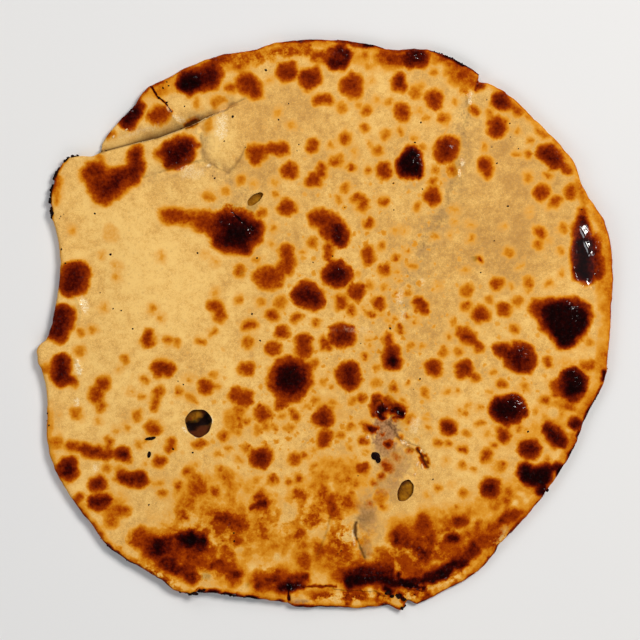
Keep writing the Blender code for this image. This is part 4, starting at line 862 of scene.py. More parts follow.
def underside(inset, angle):
    """Height of the bread's underside: flat in the middle, with the edge lifting here and there."""
    slow = 0.5 + 0.5 * np.sin(2.0 * angle + 0.7)
    quick = 0.5 + 0.5 * np.sin(5.0 * angle - 1.1)
    return CURL * (0.65 * slow + 0.35 * quick) * (1.0 - smooth_step(0.0, FLAT_BASE_INSET, inset)) ** 1.5


def plain_surface(x, y, inset, angle):
    """Height of the top by its thickness and gentle waves alone."""
    middle = smooth_step(*THICKENING, inset)
    height = underside(inset, angle) + RIM_THICKNESS + (MIDDLE_THICKNESS - RIM_THICKNESS) * middle
    wave = WAVE_HEIGHTS[0] * np.sin(x / WAVE_LENGTHS[0] + 0.6) * np.cos(y / WAVE_LENGTHS[1] - 0.4)
    wave = wave + WAVE_HEIGHTS[1] * np.sin((x - 1.4 * y) / WAVE_LENGTHS[2])
    return height + wave * smooth_step(4.0, 30.0, inset)


def seam_relief(x, y):
    """The lobe that rises to the seam and, across it, the flap that rolls down to it."""
    distance, beyond = beside_path(x, y, SEAM)
    swell, swell_width = FLAP_SWELL
    groove, groove_width = SEAM_GROOVE
    flap = -SEAM_DIP * (1.0 - smooth_step(0.0, FLAP_REACH, distance)) ** 0.8
    flap = flap + swell * bell(distance - FLAP_REACH, swell_width)
    lobe = SEAM_RISE * bell(distance, LOBE_REACH) - groove * bell(distance, groove_width)
    return np.where(distance > 0.0, flap, lobe) * bell(beyond, SEAM_FADE)


def thinning(x, y):
    """How much lower the filling and the hollow's ceiling lie under the torn place."""
    *oval, depth = THIN_FILLING
    return depth * mound(x, y, *oval)


def top_height(x, y):
    """Height of the bread's top at every place, in millimetres."""
    inset, angle = inset_and_angle(x, y)
    height = plain_surface(x, y, inset, angle) + seam_relief(x, y)
    for *oval, rise in BLISTERS:
        height += rise * mound(x, y, *oval)
    for path, half_width, depth in CREASES:
        height -= depth * fold(x, y, path, half_width)
    wavering = shifted(x, y, WANDER)
    for path, half_width, depth in FINE_CREASES:
        height -= depth * fold(*wavering, path, half_width)
    for path, half_width, rise in RIDGES:
        height += rise * fold(*wavering, path, half_width)
    rough = layered_noise(x, y, ROUGH_EDGES)
    for *oval, depth in TORN_PATCHES:
        height -= depth * smooth_step(0.3, 0.55, mound(x, y, *oval) + 0.12 * rough)
    distance, beyond = beside_path(x, y, LEDGE)
    step = smooth_step(LEDGE_SLOPE, -LEDGE_SLOPE, distance + 0.4 * rough)
    height -= LEDGE_DROP * step * bell(beyond, LEDGE_FADE)
    for hole in BURST_HOLES[:2]:
        height += LIP_HEIGHT * bell(depth_in_oval(x, y, *hole) + LIP_OUTSIDE, LIP_WIDTH)
    hollow = inset > (1.0 - FILLING_REACH) * outline_radius(angle) - HOLLOW_MARGIN
    least = plain_surface(x, y, inset, angle) - SKIN + THINNEST_SKIN - thinning(x, y)
    height = np.where(hollow, np.maximum(height, least), height)
    crumbly = np.maximum(grey_amount(x, y), zone_share(x, y, CRUSTY))
    relief = layered_noise(x, y, FINE_RELIEF) + crumbly * layered_noise(x, y, CRUMBLY_RELIEF)
    relief = relief + layered_noise(x, y, WRINKLED_RELIEF) * zone_share(x, y, GLOSSY)
    return height + relief * smooth_step(0.0, 3.0, inset)


def underside_height(x, y):
    """Height of the bread's underside at every place, with its low bubbles."""
    inset, angle = inset_and_angle(x, y)
    bubbles = np.zeros_like(x)
    for rise, start, cell, seed in BUBBLES:
        bubbles += rise * smooth_step(start, 0.9, noise(x, y, cell, seed))
    return underside(inset, angle) + bubbles * smooth_step(1.0, 4.0, inset)


# ---------------------------------------------------------------- meshes
def new_mesh_object(name, mesh):
    """A new object in the scene that shows a mesh."""
    obj = bpy.data.objects.new(name, mesh)
    bpy.context.scene.collection.objects.link(obj)
    return obj


def to_mesh(bm, name):
    """A new mesh of what was modelled."""
    mesh = bpy.data.meshes.new(name)
    bm.to_mesh(mesh)
    bm.free()
    return mesh


def turn_outwards(mesh):
    """Makes every face of a closed mesh look outwards."""
    bm = bmesh.new()
    bm.from_mesh(mesh)
    bmesh.ops.recalc_face_normals(bm, faces=bm.faces)
    bm.to_mesh(mesh)
    bm.free()


def places(mesh):
    """The mesh's points in millimetres, one row each."""
    flat = np.empty(len(mesh.vertices) * 3)
    mesh.vertices.foreach_get("co", flat)
    return flat.reshape(-1, 3) / MM


def set_places(mesh, points):
    """Moves the mesh's points to places in millimetres."""
    mesh.vertices.foreach_set("co", (points * MM).ravel())
    mesh.update()


def flat_disc(cells, inset):
    """A flat grid of squares spread over the bread's outline, with its edge that far inside it."""
    bm = bmesh.new()
    bmesh.ops.create_grid(bm, x_segments=cells, y_segments=cells, size=1.0)
    mesh = to_mesh(bm, "disc")
    square = places(mesh) * MM
    u, v = np.round(square[:, 0], 6), np.round(square[:, 1], 6)
    sideways = np.abs(u) >= np.abs(v)
    share = np.where(sideways, u, v)
    safe = np.where(share == 0.0, 1.0, share)
    angle = np.where(sideways, math.pi / 4.0 * v / safe, math.pi / 2.0 - math.pi / 4.0 * u / safe)
    angle = np.where(share < 0.0, angle + math.pi, angle)
    angle = np.arctan2(np.sin(angle), np.cos(angle))
    radius = (outline_radius(angle) - inset(angle)) * np.abs(share)
    set_places(mesh, np.column_stack([radius * np.cos(angle), radius * np.sin(angle), np.zeros_like(radius)]))
    return mesh


def wants_detail(x, y):
    """True where fine edges lie: the seam, the crack, the tears, the ledge, the fine folds and the holes."""
    wanted = np.zeros(x.shape, bool)
    for path, reach in ((SEAM, 1.6), (CRACK, 1.6), (LEDGE, 1.5)):
        distance, beyond = beside_path(x, y, path)
        wanted |= np.hypot(distance, beyond) < reach
    for path, half_width, _ in FINE_CREASES + RIDGES:
        distance, beyond = beside_path(x, y, path)
        wanted |= np.hypot(distance, beyond) < half_width * 1.6
    for *oval, _ in TORN_PATCHES:
        wanted |= depth_in_oval(x, y, *oval) > -2.0
    for oval in BURST_HOLES:
        wanted |= np.abs(depth_in_oval(x, y, *oval) + 0.4) < 1.8
    return wanted


def refine(bm, times):
    """Halves the edges that lie where fine detail is wanted, some times over."""
    for _ in range(times):
        edges = list(bm.edges)
        middles = np.array([(edge.verts[0].co + edge.verts[1].co) / 2.0 for edge in edges]) / MM
        wanted = wants_detail(middles[:, 0], middles[:, 1])
        chosen = [edge for edge, want in zip(edges, wanted) if want]
        bmesh.ops.subdivide_edges(bm, edges=chosen, cuts=1, use_grid_fill=True)


def ring_place(step, angle):
    """Inset and height of one ring of the rounded edge, where step runs from 0 at the top to 1 underneath.

    The last ring, past 1, lies on the underside just outside the underside's own squares.
    """
    if step > 1.0:
        inset = UNDERSIDE_INSET - RIM_GAP
        return inset, underside(inset, angle)
    turn = math.pi * step
    top = top_height(*polar(outline_radius(angle) - RIM_ROUNDING, angle))
    bottom = underside(UNDER_ROUNDING, angle)
    middle = bottom + WIDEST_SHARE * (top - bottom)
    if turn <= math.pi / 2.0:
        inset = RIM_ROUNDING * (1.0 - math.sin(turn) ** SQUARENESS)
        return inset, middle + (top - middle) * math.cos(turn) ** SQUARENESS
    return UNDER_ROUNDING * (1.0 - math.sin(turn)), middle + (middle - bottom) * math.cos(turn)


def polar(radius, angle):
    """The x and y of a place at a radius and an angle."""
    return radius * np.cos(angle), radius * np.sin(angle)


def extrude_rings(bm, marks):
    """Draws the open edge out into one more ring of points for each mark, which is stored on them.

    Gives back the last ring's edges and the layer that holds the marks.
    """
    layer = bm.verts.layers.float.new("ring")
    rim = [edge for edge in bm.edges if edge.is_boundary]
    for mark in marks:
        made = bmesh.ops.extrude_edge_only(bm, edges=rim)["geom"]
        rim = [item for item in made if isinstance(item, bmesh.types.BMEdge)]
        for vert in [item for item in made if isinstance(item, bmesh.types.BMVert)]:
            vert[layer] = mark
    return rim, layer


def take_marks(mesh):
    """The marks of the mesh's rings of points, 0 elsewhere, taken off the mesh."""
    marks = np.empty(len(mesh.vertices), np.float32)
    mesh.attributes["ring"].data.foreach_get("value", marks)
    mesh.attributes.remove(mesh.attributes["ring"])
    return marks


def make_skin():
    """The whole bread from outside, closed: a fine top, a rounded edge and a coarser underside."""
    bm = bmesh.new()
    bm.from_mesh(flat_disc(DETAIL_CELLS, lambda angle: RIM_ROUNDING))
    refine(bm, 2)
    steps = [step / RIM_RINGS for step in range(1, RIM_RINGS + 2)]
    rim, layer = extrude_rings(bm, steps)
    first_below = len(bm.verts)
    bm.from_mesh(flat_disc(UNDERSIDE_CELLS, lambda angle: UNDERSIDE_INSET))
    bm.verts.ensure_lookup_table()
    for vert in bm.verts[first_below:]:
        vert[layer] = UNDERSIDE_MARK
    open_edges = [edge for edge in bm.edges if edge.is_boundary]
    below_rim = [edge for edge in open_edges if edge.verts[0][layer] == UNDERSIDE_MARK]
    bmesh.ops.triangle_fill(bm, use_beauty=True, edges=rim + below_rim, normal=(0.0, 0.0, -1.0))
    bmesh.ops.triangulate(bm, faces=bm.faces)
    mesh = to_mesh(bm, "dough_skin")

    points = places(mesh)
    marks = take_marks(mesh)
    top = marks == 0.0
    below = marks == UNDERSIDE_MARK
    points[top, 2] = top_height(points[top, 0], points[top, 1])
    points[below, 2] = underside_height(points[below, 0], points[below, 1])
    for step in steps:
        here = np.isclose(marks, step)
        angle = np.arctan2(points[here, 1], points[here, 0])
        inset, height = ring_place(step, angle)
        points[here, 0], points[here, 1] = polar(outline_radius(angle) - inset, angle)
        points[here, 2] = height
    set_places(mesh, points)
    turn_outwards(mesh)
    return new_mesh_object("dough_skin", mesh)


def make_layer(name, cells, spare, relief=None):
    """The filling's layer, larger by spare all round, with the relief of its top added."""
    def edge_inset(angle):
        return outline_radius(angle) * (1.0 - FILLING_REACH) - spare

    bm = bmesh.new()
    bm.from_mesh(flat_disc(cells, edge_inset))
    rim, _ = extrude_rings(bm, (EDGE_MARK, BASE_MARK))
    bmesh.ops.contextual_create(bm, geom=rim)
    bmesh.ops.triangulate(bm, faces=bm.faces)
    mesh = to_mesh(bm, name)

    points = places(mesh)
    marks = take_marks(mesh)
    x, y = points[:, 0], points[:, 1]
    inset, angle = inset_and_angle(x, y)
    fall = FILLING_EDGE_FALL * (1.0 - smooth_step(0.0, FILLING_FALL_REACH, inset - edge_inset(angle)))
    height = plain_surface(x, y, inset, angle) - SKIN - CLEARANCE + spare - fall - thinning(x, y)
    if relief is not None:
        height += relief(x, y)
    height = np.where(marks == EDGE_MARK, SKIN + CLEARANCE + FILLING_EDGE_RISE, height)
    height = np.where(marks == BASE_MARK, SKIN + CLEARANCE - spare, height)
    bulge = np.where(marks == EDGE_MARK, FILLING_EDGE_BULGE, 0.0)
    points[:, 0], points[:, 1] = polar(np.hypot(x, y) + bulge, angle)
    points[:, 2] = height
    set_places(mesh, points)
    turn_outwards(mesh)
    return new_mesh_object(name, mesh)


def make_punch(index, hole):
    """An uneven oval punch from above the bread down into the hollow."""
    x, y, width, length, turn = hole
    bm = bmesh.new()
    bmesh.ops.create_cone(
        bm, cap_ends=True, segments=HOLE_SIDES, radius1=1.0, radius2=HOLE_FLARE, depth=1.0,
    )
    mesh = to_mesh(bm, f"punch_{index}")
    points = places(mesh) * MM
    angle = np.arctan2(points[:, 1], points[:, 0])
    uneven = 1.0 + 0.035 * np.sin(3.0 * angle + index) + 0.02 * np.sin(7.0 * angle + 2.0 * index)
    along, across = points[:, 0] * uneven * width / 2.0, points[:, 1] * uneven * length / 2.0
    right, away = turned(along, across, -turn)
    height = np.where(points[:, 2] < 0.0, HOLE_CUT_FLOOR, HOLE_CUT_TOP)
    set_places(mesh, np.column_stack([x + right, y + away, height]))
    return new_mesh_object(mesh.name, mesh)


def make_blade(name, path, width, floor, seed):
    """An upright ribbon along a path, with an uneven width that tapers to its ends: it cuts a crack."""
    path = np.array(path)
    lengths = np.concatenate([[0.0], np.cumsum(np.hypot(*np.diff(path, axis=0).T))])
    stations = np.linspace(0.0, lengths[-1], int(lengths[-1] / BLADE_STEP) + 1)
    x, y = np.interp(stations, lengths, path[:, 0]), np.interp(stations, lengths, path[:, 1])
    run_x, run_y = np.gradient(x), np.gradient(y)
    length = np.hypot(run_x, run_y)
    side_x, side_y = -run_y / length, run_x / length
    draw = np.random.default_rng(seed)
    shift = draw.uniform(-BLADE_SHIFT, BLADE_SHIFT, len(stations))
    taper = np.sin(np.pi * np.clip(stations / lengths[-1], 0.04, 0.96)) ** 0.5
    half = width / 2.0 * taper * draw.uniform(0.7, 1.3, len(stations))
    bm = bmesh.new()
    rows = []
    for i in range(len(stations)):
        row = []
        for side, height in ((-1.0, floor), (1.0, floor), (1.0, BLADE_TOP), (-1.0, BLADE_TOP)):
            offset = shift[i] + side * half[i]
            place = (x[i] + side_x[i] * offset, y[i] + side_y[i] * offset, height)
            row.append(bm.verts.new([value * MM for value in place]))
        rows.append(row)
    for row, following in zip(rows, rows[1:]):
        for k in range(4):
            bm.faces.new((row[k], row[(k + 1) % 4], following[(k + 1) % 4], following[k]))
    bm.faces.new(rows[0])
    bm.faces.new(rows[-1])
    bmesh.ops.recalc_face_normals(bm, faces=bm.faces)
    return new_mesh_object(name, to_mesh(bm, name))


def cut_away(target, cutters):
    """Takes the cutters' shapes out of an object, and then removes them."""
    for cutter in cutters:
        modifier = target.modifiers.new("cut", "BOOLEAN")
        modifier.operation = "DIFFERENCE"
        modifier.solver = "MANIFOLD"
        modifier.object = cutter
    evaluated = target.evaluated_get(bpy.context.evaluated_depsgraph_get())
    mesh = bpy.data.meshes.new_from_object(evaluated)
    target.modifiers.clear()
    target.data = mesh
    for cutter in cutters:
        bpy.data.objects.remove(cutter)


# ---------------------------------------------------------------- browning and tones at each point
def soft_union(powers):
    """Joins overlapping spots, given as their levels' powers added up, without a crease between them."""
    return powers ** (1.0 / UNION_POWER)


def soft_browning(x, y):
    """Browning by cloudy patches: each rises slowly from outside its edge to its middle."""
    warped = shifted(x, y, PATCH_WARP)
    total = np.zeros_like(x)
    for *oval, strength in SOFT_PATCHES:
        full = max(SOFT_INSIDE * min(oval[2], oval[3]) / 2.0, LEAST_SOFT_INSIDE)
        rise = smooth_step(-SOFT_OUTSIDE, full, depth_in_spot(*warped, *oval))
        total += (strength * rise) ** UNION_POWER
    return soft_union(total)


def spot_browning(x, y, spots):
    """Browning by spots: a steep edge, a slower rise to the dark core and a faint halo."""
    warped_x, warped_y = shifted(x, y, SPOT_WARP)
    total = np.zeros_like(x)
    for *oval, strength in spots:
        reach = max(oval[2], oval[3]) / 2.0 + SPOT_MARGIN
        near = (np.abs(x - oval[0]) < reach) & (np.abs(y - oval[1]) < reach)
        if not near.any():
            continue
        depth = depth_in_spot(warped_x[near], warped_y[near], *oval)
        core = min(CORE_SHARE * min(oval[2], oval[3]) / 2.0, CORE_REACH)
        level = EDGE_SHARE * strength * smooth_step(-EDGE_OUTSIDE, EDGE_INSIDE, depth)
        level += (1.0 - EDGE_SHARE) * strength * smooth_step(0.0, core, depth)
        level = np.maximum(level, HALO_LEVEL * smooth_step(-HALO_REACH, -HALO_START, depth))
        total[near] += level ** UNION_POWER
    return soft_union(total)


def line_strength(x, y, lines):
    """The strongest of some lines at each place, wavering and with ragged edges."""
    ragged = layered_noise(x, y, LINE_EDGES)
    wavering = shifted(x, y, WANDER)
    total = np.zeros_like(x)
    for path, half_width, strength in lines:
        distance, beyond = beside_path(*wavering, path)
        away = np.hypot(np.abs(distance), beyond) / half_width + ragged
        total = np.maximum(total, strength * np.exp(-np.maximum(away, 0.0) ** 2))
    return total


def zone_sum(x, y, zones):
    """Soft ovals added up, each with its own amount."""
    return sum(amount * mound(x, y, *oval) for *oval, amount in zones)


def zone_share(x, y, zones):
    """The same, held between 0 and 1."""
    return np.clip(zone_sum(x, y, zones), 0.0, 1.0)


def rim_browning(inset, angle):
    """The golden band inside the edge, and the thin dark line along it."""
    degrees = np.degrees(angle)
    total = np.zeros_like(inset)
    for start, end, width, band, line in RIM_BROWNING:
        middle, half = (start + end) / 2.0, (end - start) / 2.0
        away = np.abs((degrees - middle + 180.0) % 360.0 - 180.0)
        here = 1.0 - smooth_step(half - RIM_BLEND, half + RIM_BLEND, away)
        level = band * (1.0 - smooth_step(BAND_FADE[0] * width, BAND_FADE[1] * width, inset))
        level = np.maximum(level, line * (1.0 - smooth_step(*LINE_FADE, inset)))
        total = np.maximum(total, level * here)
    return total


def top_browning(x, y):
    """How browned the top is, with two spots of painted shade: 0 cream, 0.45 orange, 0.8 dark brown and 1
    nearly black.
    """
    inset, angle = inset_and_angle(x, y)
    mottle = 0.5 + layered_noise(x, y, MOTTLE)
    zones = zone_sum(x, y, GOLDEN_ZONES) * (1.0 - zone_share(x, y, CREAM_PATCHES))
    edge = rim_browning(inset + layered_noise(x, y, BAND_EDGES), angle) * (0.7 + 0.5 * mottle)
    parts = (
        spot_browning(x, y, SPOTS),
        soft_browning(x, y),
        np.clip(zones * (0.4 + 1.2 * mottle), 0.0, 0.6),
        np.clip(edge, 0.0, 1.2),
        line_strength(x, y, SCORCHED_LINES),
    )
    total = np.minimum(soft_union(sum(part ** UNION_POWER for part in parts)), BLACKEST)
    blotchy = np.clip(zone_sum(x, y, MOTTLED), 0.0, 0.5)
    return total * (1.0 + blotchy * layered_noise(x, y, BLOTCHES))


def underside_spots():
    """Spots for the underside, by a rule: many small ones and a few large, spread at random."""
    draw = np.random.default_rng(7)
    spots = []
    for _ in range(UNDERSIDE_SPOTS):
        radius, angle = UNDERSIDE_REACH * math.sqrt(draw.uniform()), draw.uniform(0.0, math.tau)
        size = 2.5 + 12.0 * draw.uniform() ** 3
        height, turn = size * draw.uniform(0.6, 1.1), draw.uniform(0.0, 180.0)
        spots.append((*polar(radius, angle), size, height, turn, min(0.35 + 0.06 * size, 1.0)))
    return spots


def grey_amount(x, y):
    """How strongly a place lies in one of the greyish bands."""
    levels = [strength * fold(x, y, path, half_width) for path, half_width, strength in GREY_BANDS]
    return np.max(levels, axis=0)


def shading(x, y):
    """How much a place lies in the lobe's shade beside the seam, or in the shade of a thin crease."""
    distance, beyond = beside_path(x, y, SEAM)
    fade = bell(beyond, 4.0) * (1.0 - smooth_step(-46.0, -42.0, x))
    reach = 0.7 + 1.7 * smooth_step(-82.0, -68.0, x) * (1.0 - 0.5 * smooth_step(-58.0, -50.0, x))
    near = np.exp(-(np.maximum(distance, 0.0) / reach) ** 1.5)
    near = np.where(distance > 0.0, near, 0.0)
    near = np.maximum(near, 0.85 * bell(distance, 0.45)) * fade
    return np.maximum(near, line_strength(x, y, SHADOW_LINES))


def ragged_patches(x, y, patches):
    """Some patches with ragged edges, each at its own strength."""
    rough = layered_noise(x, y, PATCH_EDGES)
    total = np.zeros_like(x)
    for *oval, strength in patches:
        level = mound(x, y, *oval)
        level = level + rough * np.minimum(4.0 * level, 1.0)
        total = np.maximum(total, strength * smooth_step(0.1, 0.5, level))
    return total


def set_attribute(mesh, name, values):
    """Stores one number on each point of a mesh."""
    attribute = mesh.attributes.new(name, "FLOAT", "POINT")
    attribute.data.foreach_set("value", values.astype(np.float32))


def paint_skin(mesh):
    """Stores on each point the amounts that the dough's material reads."""
    x, y, z = places(mesh).T
    inset, angle = inset_and_angle(x, y)
    outside_top = z > top_height(x, y) - TOP_BAND
    outside_low = z < underside(inset, angle) + LOW_BAND
    on_rim = inset < RIM_BAND
    raw = ~(outside_top | outside_low | on_rim)
    below = outside_low & ~on_rim
    browning = top_browning(x, y)
    browning[below] = spot_browning(x[below], y[below], underside_spots())
    browning[raw] = line_strength(x[raw], y[raw], [CRACK_LINE])
    set_attribute(mesh, "browning", browning)
    set_attribute(mesh, "tan", zone_sum(x, y, TONES))
    set_attribute(mesh, "freckled", zone_share(x, y, FRECKLED))
    set_attribute(mesh, "raw", raw.astype(float))
    top_only = {
        "grey": grey_amount(x, y),
        "gloss": zone_share(x, y, GLOSSY) * ~raw,
        "shade": shading(x, y),
        "crusty": zone_share(x, y, CRUSTY),
        "pale": ragged_patches(x, y, PALE),
        "bare_and_shade": ragged_patches(x, y, BARE_AND_SHADE),
        "olive": ragged_patches(x, y, OLIVE),
    }
    for name, amount in top_only.items():
        set_attribute(mesh, name, amount * ~below)


# Round islands of the dough's flat layout: the centre and the radius of the top's, the underside's, and those
# of the hollow's ceiling and floor
ISLANDS = ((0.39, 0.61, 0.385), (0.805, 0.195, 0.19), (0.1, 0.1, 0.09), (0.3, 0.1, 0.09))
LAYOUT_REACH = 124.0        # distance from the bread's middle that an island's radius stands for


def lay_out(mesh):
    """Gives the dough a flat layout for baked colours, with the rim spread out round the top's disc."""
    points = places(mesh)
    x, y, z = points.T
    inset, angle = inset_and_angle(x, y)
    down = np.clip(underside(0.0, angle) + RIM_THICKNESS - z, 0.0, RIM_THICKNESS) * (inset < RIM_BAND)
    spread = 1.0 + down / np.maximum(np.hypot(x, y), 1.0)
    flat = np.column_stack([x, y]) / LAYOUT_REACH
    raw = np.zeros(len(mesh.vertices), dtype=np.float32)
    mesh.attributes["raw"].data.foreach_get("value", raw)

    corners = np.zeros(len(mesh.loops), dtype=np.int32)
    mesh.loops.foreach_get("vertex_index", corners)
    normals = np.zeros(3 * len(mesh.polygons), dtype=np.float32)
    mesh.polygons.foreach_get("normal", normals)
    sizes = np.zeros(len(mesh.polygons), dtype=np.int32)
    mesh.polygons.foreach_get("loop_total", sizes)
    up = np.repeat(normals.reshape(-1, 3)[:, 2], sizes)
    inner = np.repeat(np.add.reduceat(raw[corners], np.cumsum(sizes) - sizes) / sizes > 0.5, sizes)
    island = np.where(inner, np.where(up < 0.0, 2, 3), np.where(up < -0.3, 1, 0))

    disc = flat[corners] * np.where(island == 0, spread[corners], 1.0)[:, None]
    centres = np.array(ISLANDS)[island]
    uv = centres[:, :2] + centres[:, 2:] * disc
    layer = mesh.uv_layers.new(name="OFBake")
    layer.data.foreach_set("uv", uv.astype(np.float32).ravel())


# ---------------------------------------------------------------- materials
class Nodes:
    """A material under construction: each call adds one node and gives back its output."""

    def __init__(self, name):
        self.material = bpy.data.materials.new(name)
        self.material.use_nodes = True
        self.tree = self.material.node_tree
        self.shader = self.tree.nodes["Principled BSDF"]

    def set(self, socket, value):
        """Links a socket to another node's output, or gives it a plain value."""
        if isinstance(value, bpy.types.NodeSocket):
            self.tree.links.new(value, socket)
        else:
            socket.default_value = value

    def add(self, kind, output, inputs, **settings):
        """Adds a node with its inputs and settings, and gives back one of its outputs."""
        node = self.tree.nodes.new(kind)
        for name, value in settings.items():
            setattr(node, name, value)
        for key, value in inputs.items():
            self.set(node.inputs[key], value)
        return node.outputs[output]

    def attribute(self, name):
        """A number stored on the mesh's points."""
        return self.add("ShaderNodeAttribute", "Fac", {}, attribute_name=name)

    def millimetres(self):
        """The place on the piece, in millimetres."""
        place = self.add("ShaderNodeTexCoord", "Object", {})
        return self.add("ShaderNodeVectorMath", "Vector", {0: place, "Scale": 1.0 / MM}, operation="SCALE")

    def warped(self, place, size, amount):
        """Places pushed to and fro by up to about half an amount, so that shapes drawn there turn ragged."""
        node = self.tree.nodes.new("ShaderNodeTexNoise")
        self.set(node.inputs["Vector"], place)
        self.set(node.inputs["Scale"], 1.0 / size)
        push = self.add("ShaderNodeVectorMath", "Vector", {
            0: node.outputs["Color"], 1: (0.5, 0.5, 0.5),
        }, operation="SUBTRACT")
        push = self.add("ShaderNodeVectorMath", "Vector", {0: push, "Scale": amount}, operation="SCALE")
        return self.add("ShaderNodeVectorMath", "Vector", {0: place, 1: push})

    def noise(self, place, size, detail=3.0, roughness=0.55):
        """Noise from 0 to 1 with features of a size in millimetres."""
        return self.add("ShaderNodeTexNoise", "Fac", {
            "Vector": place, "Scale": 1.0 / size, "Detail": detail, "Roughness": roughness,
        })

    def math(self, operation, a, b=0.5, c=0.5, clamp=False):
        """A sum on up to three values."""
        return self.add("ShaderNodeMath", "Value", {0: a, 1: b, 2: c}, operation=operation, use_clamp=clamp)

    def times(self, value, *others):
        """The product of some values."""
        for other in others:
            value = self.math("MULTIPLY", value, other)
        return value

    def scaled(self, value, factor, plus):
        """A value times a factor, plus another value."""
        return self.math("MULTIPLY_ADD", value, factor, plus)

    def rise(self, value, low, high, to_low=0.0, to_high=1.0):
        """A smooth change from one level to another while a value goes from low to high."""
        return self.add("ShaderNodeMapRange", "Result", {
            "Value": value, "From Min": low, "From Max": high, "To Min": to_low, "To Max": to_high,
        }, interpolation_type="SMOOTHSTEP")

    def mix(self, share, a, b):
        """Two colours mixed, where the share is the second one's."""
        node = self.tree.nodes.new("ShaderNodeMix")
        node.data_type = "RGBA"
        self.set(node.inputs[0], share)
        self.set(node.inputs[6], a)
        self.set(node.inputs[7], b)
        return node.outputs[2]

    def tint(self, colour, other, *shares):
        """A colour mixed with another one by the product of some shares."""
        return self.mix(self.times(*shares), colour, other)

    def ramp(self, value, stops):
        """The colour that a value has on a scale of colours."""
        node = self.tree.nodes.new("ShaderNodeValToRGB")
        self.set(node.inputs["Fac"], value)
        elements = node.color_ramp.elements
        while len(elements) < len(stops):
            elements.new(0.5)
        for element, (position, colour) in zip(elements, stops):
            element.position = position
            element.color = colour
        return node.outputs["Color"]

    def freckles(self, place, cell, share, smallest, largest, seed):
        """Soft round spots, at most one in each cell: 1 inside them and 0 outside."""
        shifted = self.add("ShaderNodeVectorMath", "Vector", {0: place, 1: (37.0 * seed, 19.0 * seed, 0.0)})
        node = self.tree.nodes.new("ShaderNodeTexVoronoi")
        node.voronoi_dimensions = "2D"
        self.set(node.inputs["Vector"], shifted)
        self.set(node.inputs["Scale"], 1.0 / cell)
        self.set(node.inputs["Randomness"], 0.9)
        parts = self.tree.nodes.new("ShaderNodeSeparateColor")
        self.set(parts.inputs[0], node.outputs["Color"])
        distance = self.times(node.outputs["Distance"], cell)
        radius = self.rise(parts.outputs[1], 0.0, 1.0, smallest, largest)
        inside = self.rise(self.math("SUBTRACT", radius, distance), -0.6, 0.6)
        kept = self.math("LESS_THAN", parts.outputs[0], share)
        return self.times(inside, kept)

    def bump(self, height, depth, strength):
        """The way a surface faces with fine relief of a depth in millimetres."""
        return self.add("ShaderNodeBump", "Normal", {
            "Height": height, "Distance": depth * MM, "Strength": strength,
        })

    def surface(self, **inputs):
        """Sets the surface's inputs, named with _ for a space, and gives back the material."""
        for name, value in inputs.items():
            self.set(self.shader.inputs[name.replace("_", " ")], value)
        return self.material


# Colours of the skin at each level of browning
BROWNING_STOPS = (
    (0.00, srgb(232, 182, 106)), (0.10, srgb(228, 168, 82)), (0.22, srgb(219, 149, 46)),
    (0.34, srgb(205, 127, 22)), (0.46, srgb(190, 104, 9)), (0.57, srgb(170, 76, 3)),
    (0.67, srgb(149, 54, 2)), (0.78, srgb(124, 37, 2)), (0.87, srgb(99, 23, 2)), (0.94, srgb(76, 12, 2)),
    (1.00, srgb(57, 6, 2)), (1.08, srgb(36, 3, 2)), (1.20, srgb(15, 2, 2)),
)
DARKEST = 1.25              # the browning at the far end of the material's scale
# Colours of skin that isn't browned, from cream to tan
TAN_STOPS = (
    (0.0, srgb(240, 195, 113)), (0.35, srgb(223, 171, 88)), (0.65, srgb(203, 149, 71)),
    (1.0, srgb(174, 120, 52)),
)
# Colours of the potato's lumps
POTATO_STOPS = (
    (0.25, srgb(98, 52, 3)), (0.45, srgb(144, 90, 8)), (0.62, srgb(166, 112, 18)), (0.8, srgb(196, 150, 50)),
)


def unbrowned_colour(nodes, place, coarse, medium, grain):
    """The skin where it isn't browned: cream to tan, with fine specks, grey bands and a fine grain of flour.
    """
    clouds = nodes.noise(place, 13.0, 3.0)
    mottle = nodes.scaled(coarse, 1.8, nodes.scaled(medium, 1.5, -4.25))
    mottle = nodes.scaled(grain, 3.4, nodes.scaled(clouds, 1.8, mottle))
    tan = nodes.math("ADD", nodes.attribute("tan"), mottle)
    colour = nodes.ramp(nodes.rise(tan, -1.0, 1.4), TAN_STOPS)
    colour = nodes.tint(colour, srgb(150, 92, 34), nodes.freckles(place, 1.9, 0.2, 0.02, 0.24, 3), 0.4)
    grey = nodes.attribute("grey")
    colour = nodes.tint(colour, srgb(170, 130, 80), grey, nodes.rise(coarse, 0.35, 0.65), 0.6)
    colour = nodes.tint(colour, srgb(92, 58, 26), nodes.freckles(place, 0.9, 0.5, 0.02, 0.26, 4), grey, 0.7)
    return nodes.tint(colour, srgb(246, 214, 150), nodes.rise(grain, 0.3, 0.75), 0.22)


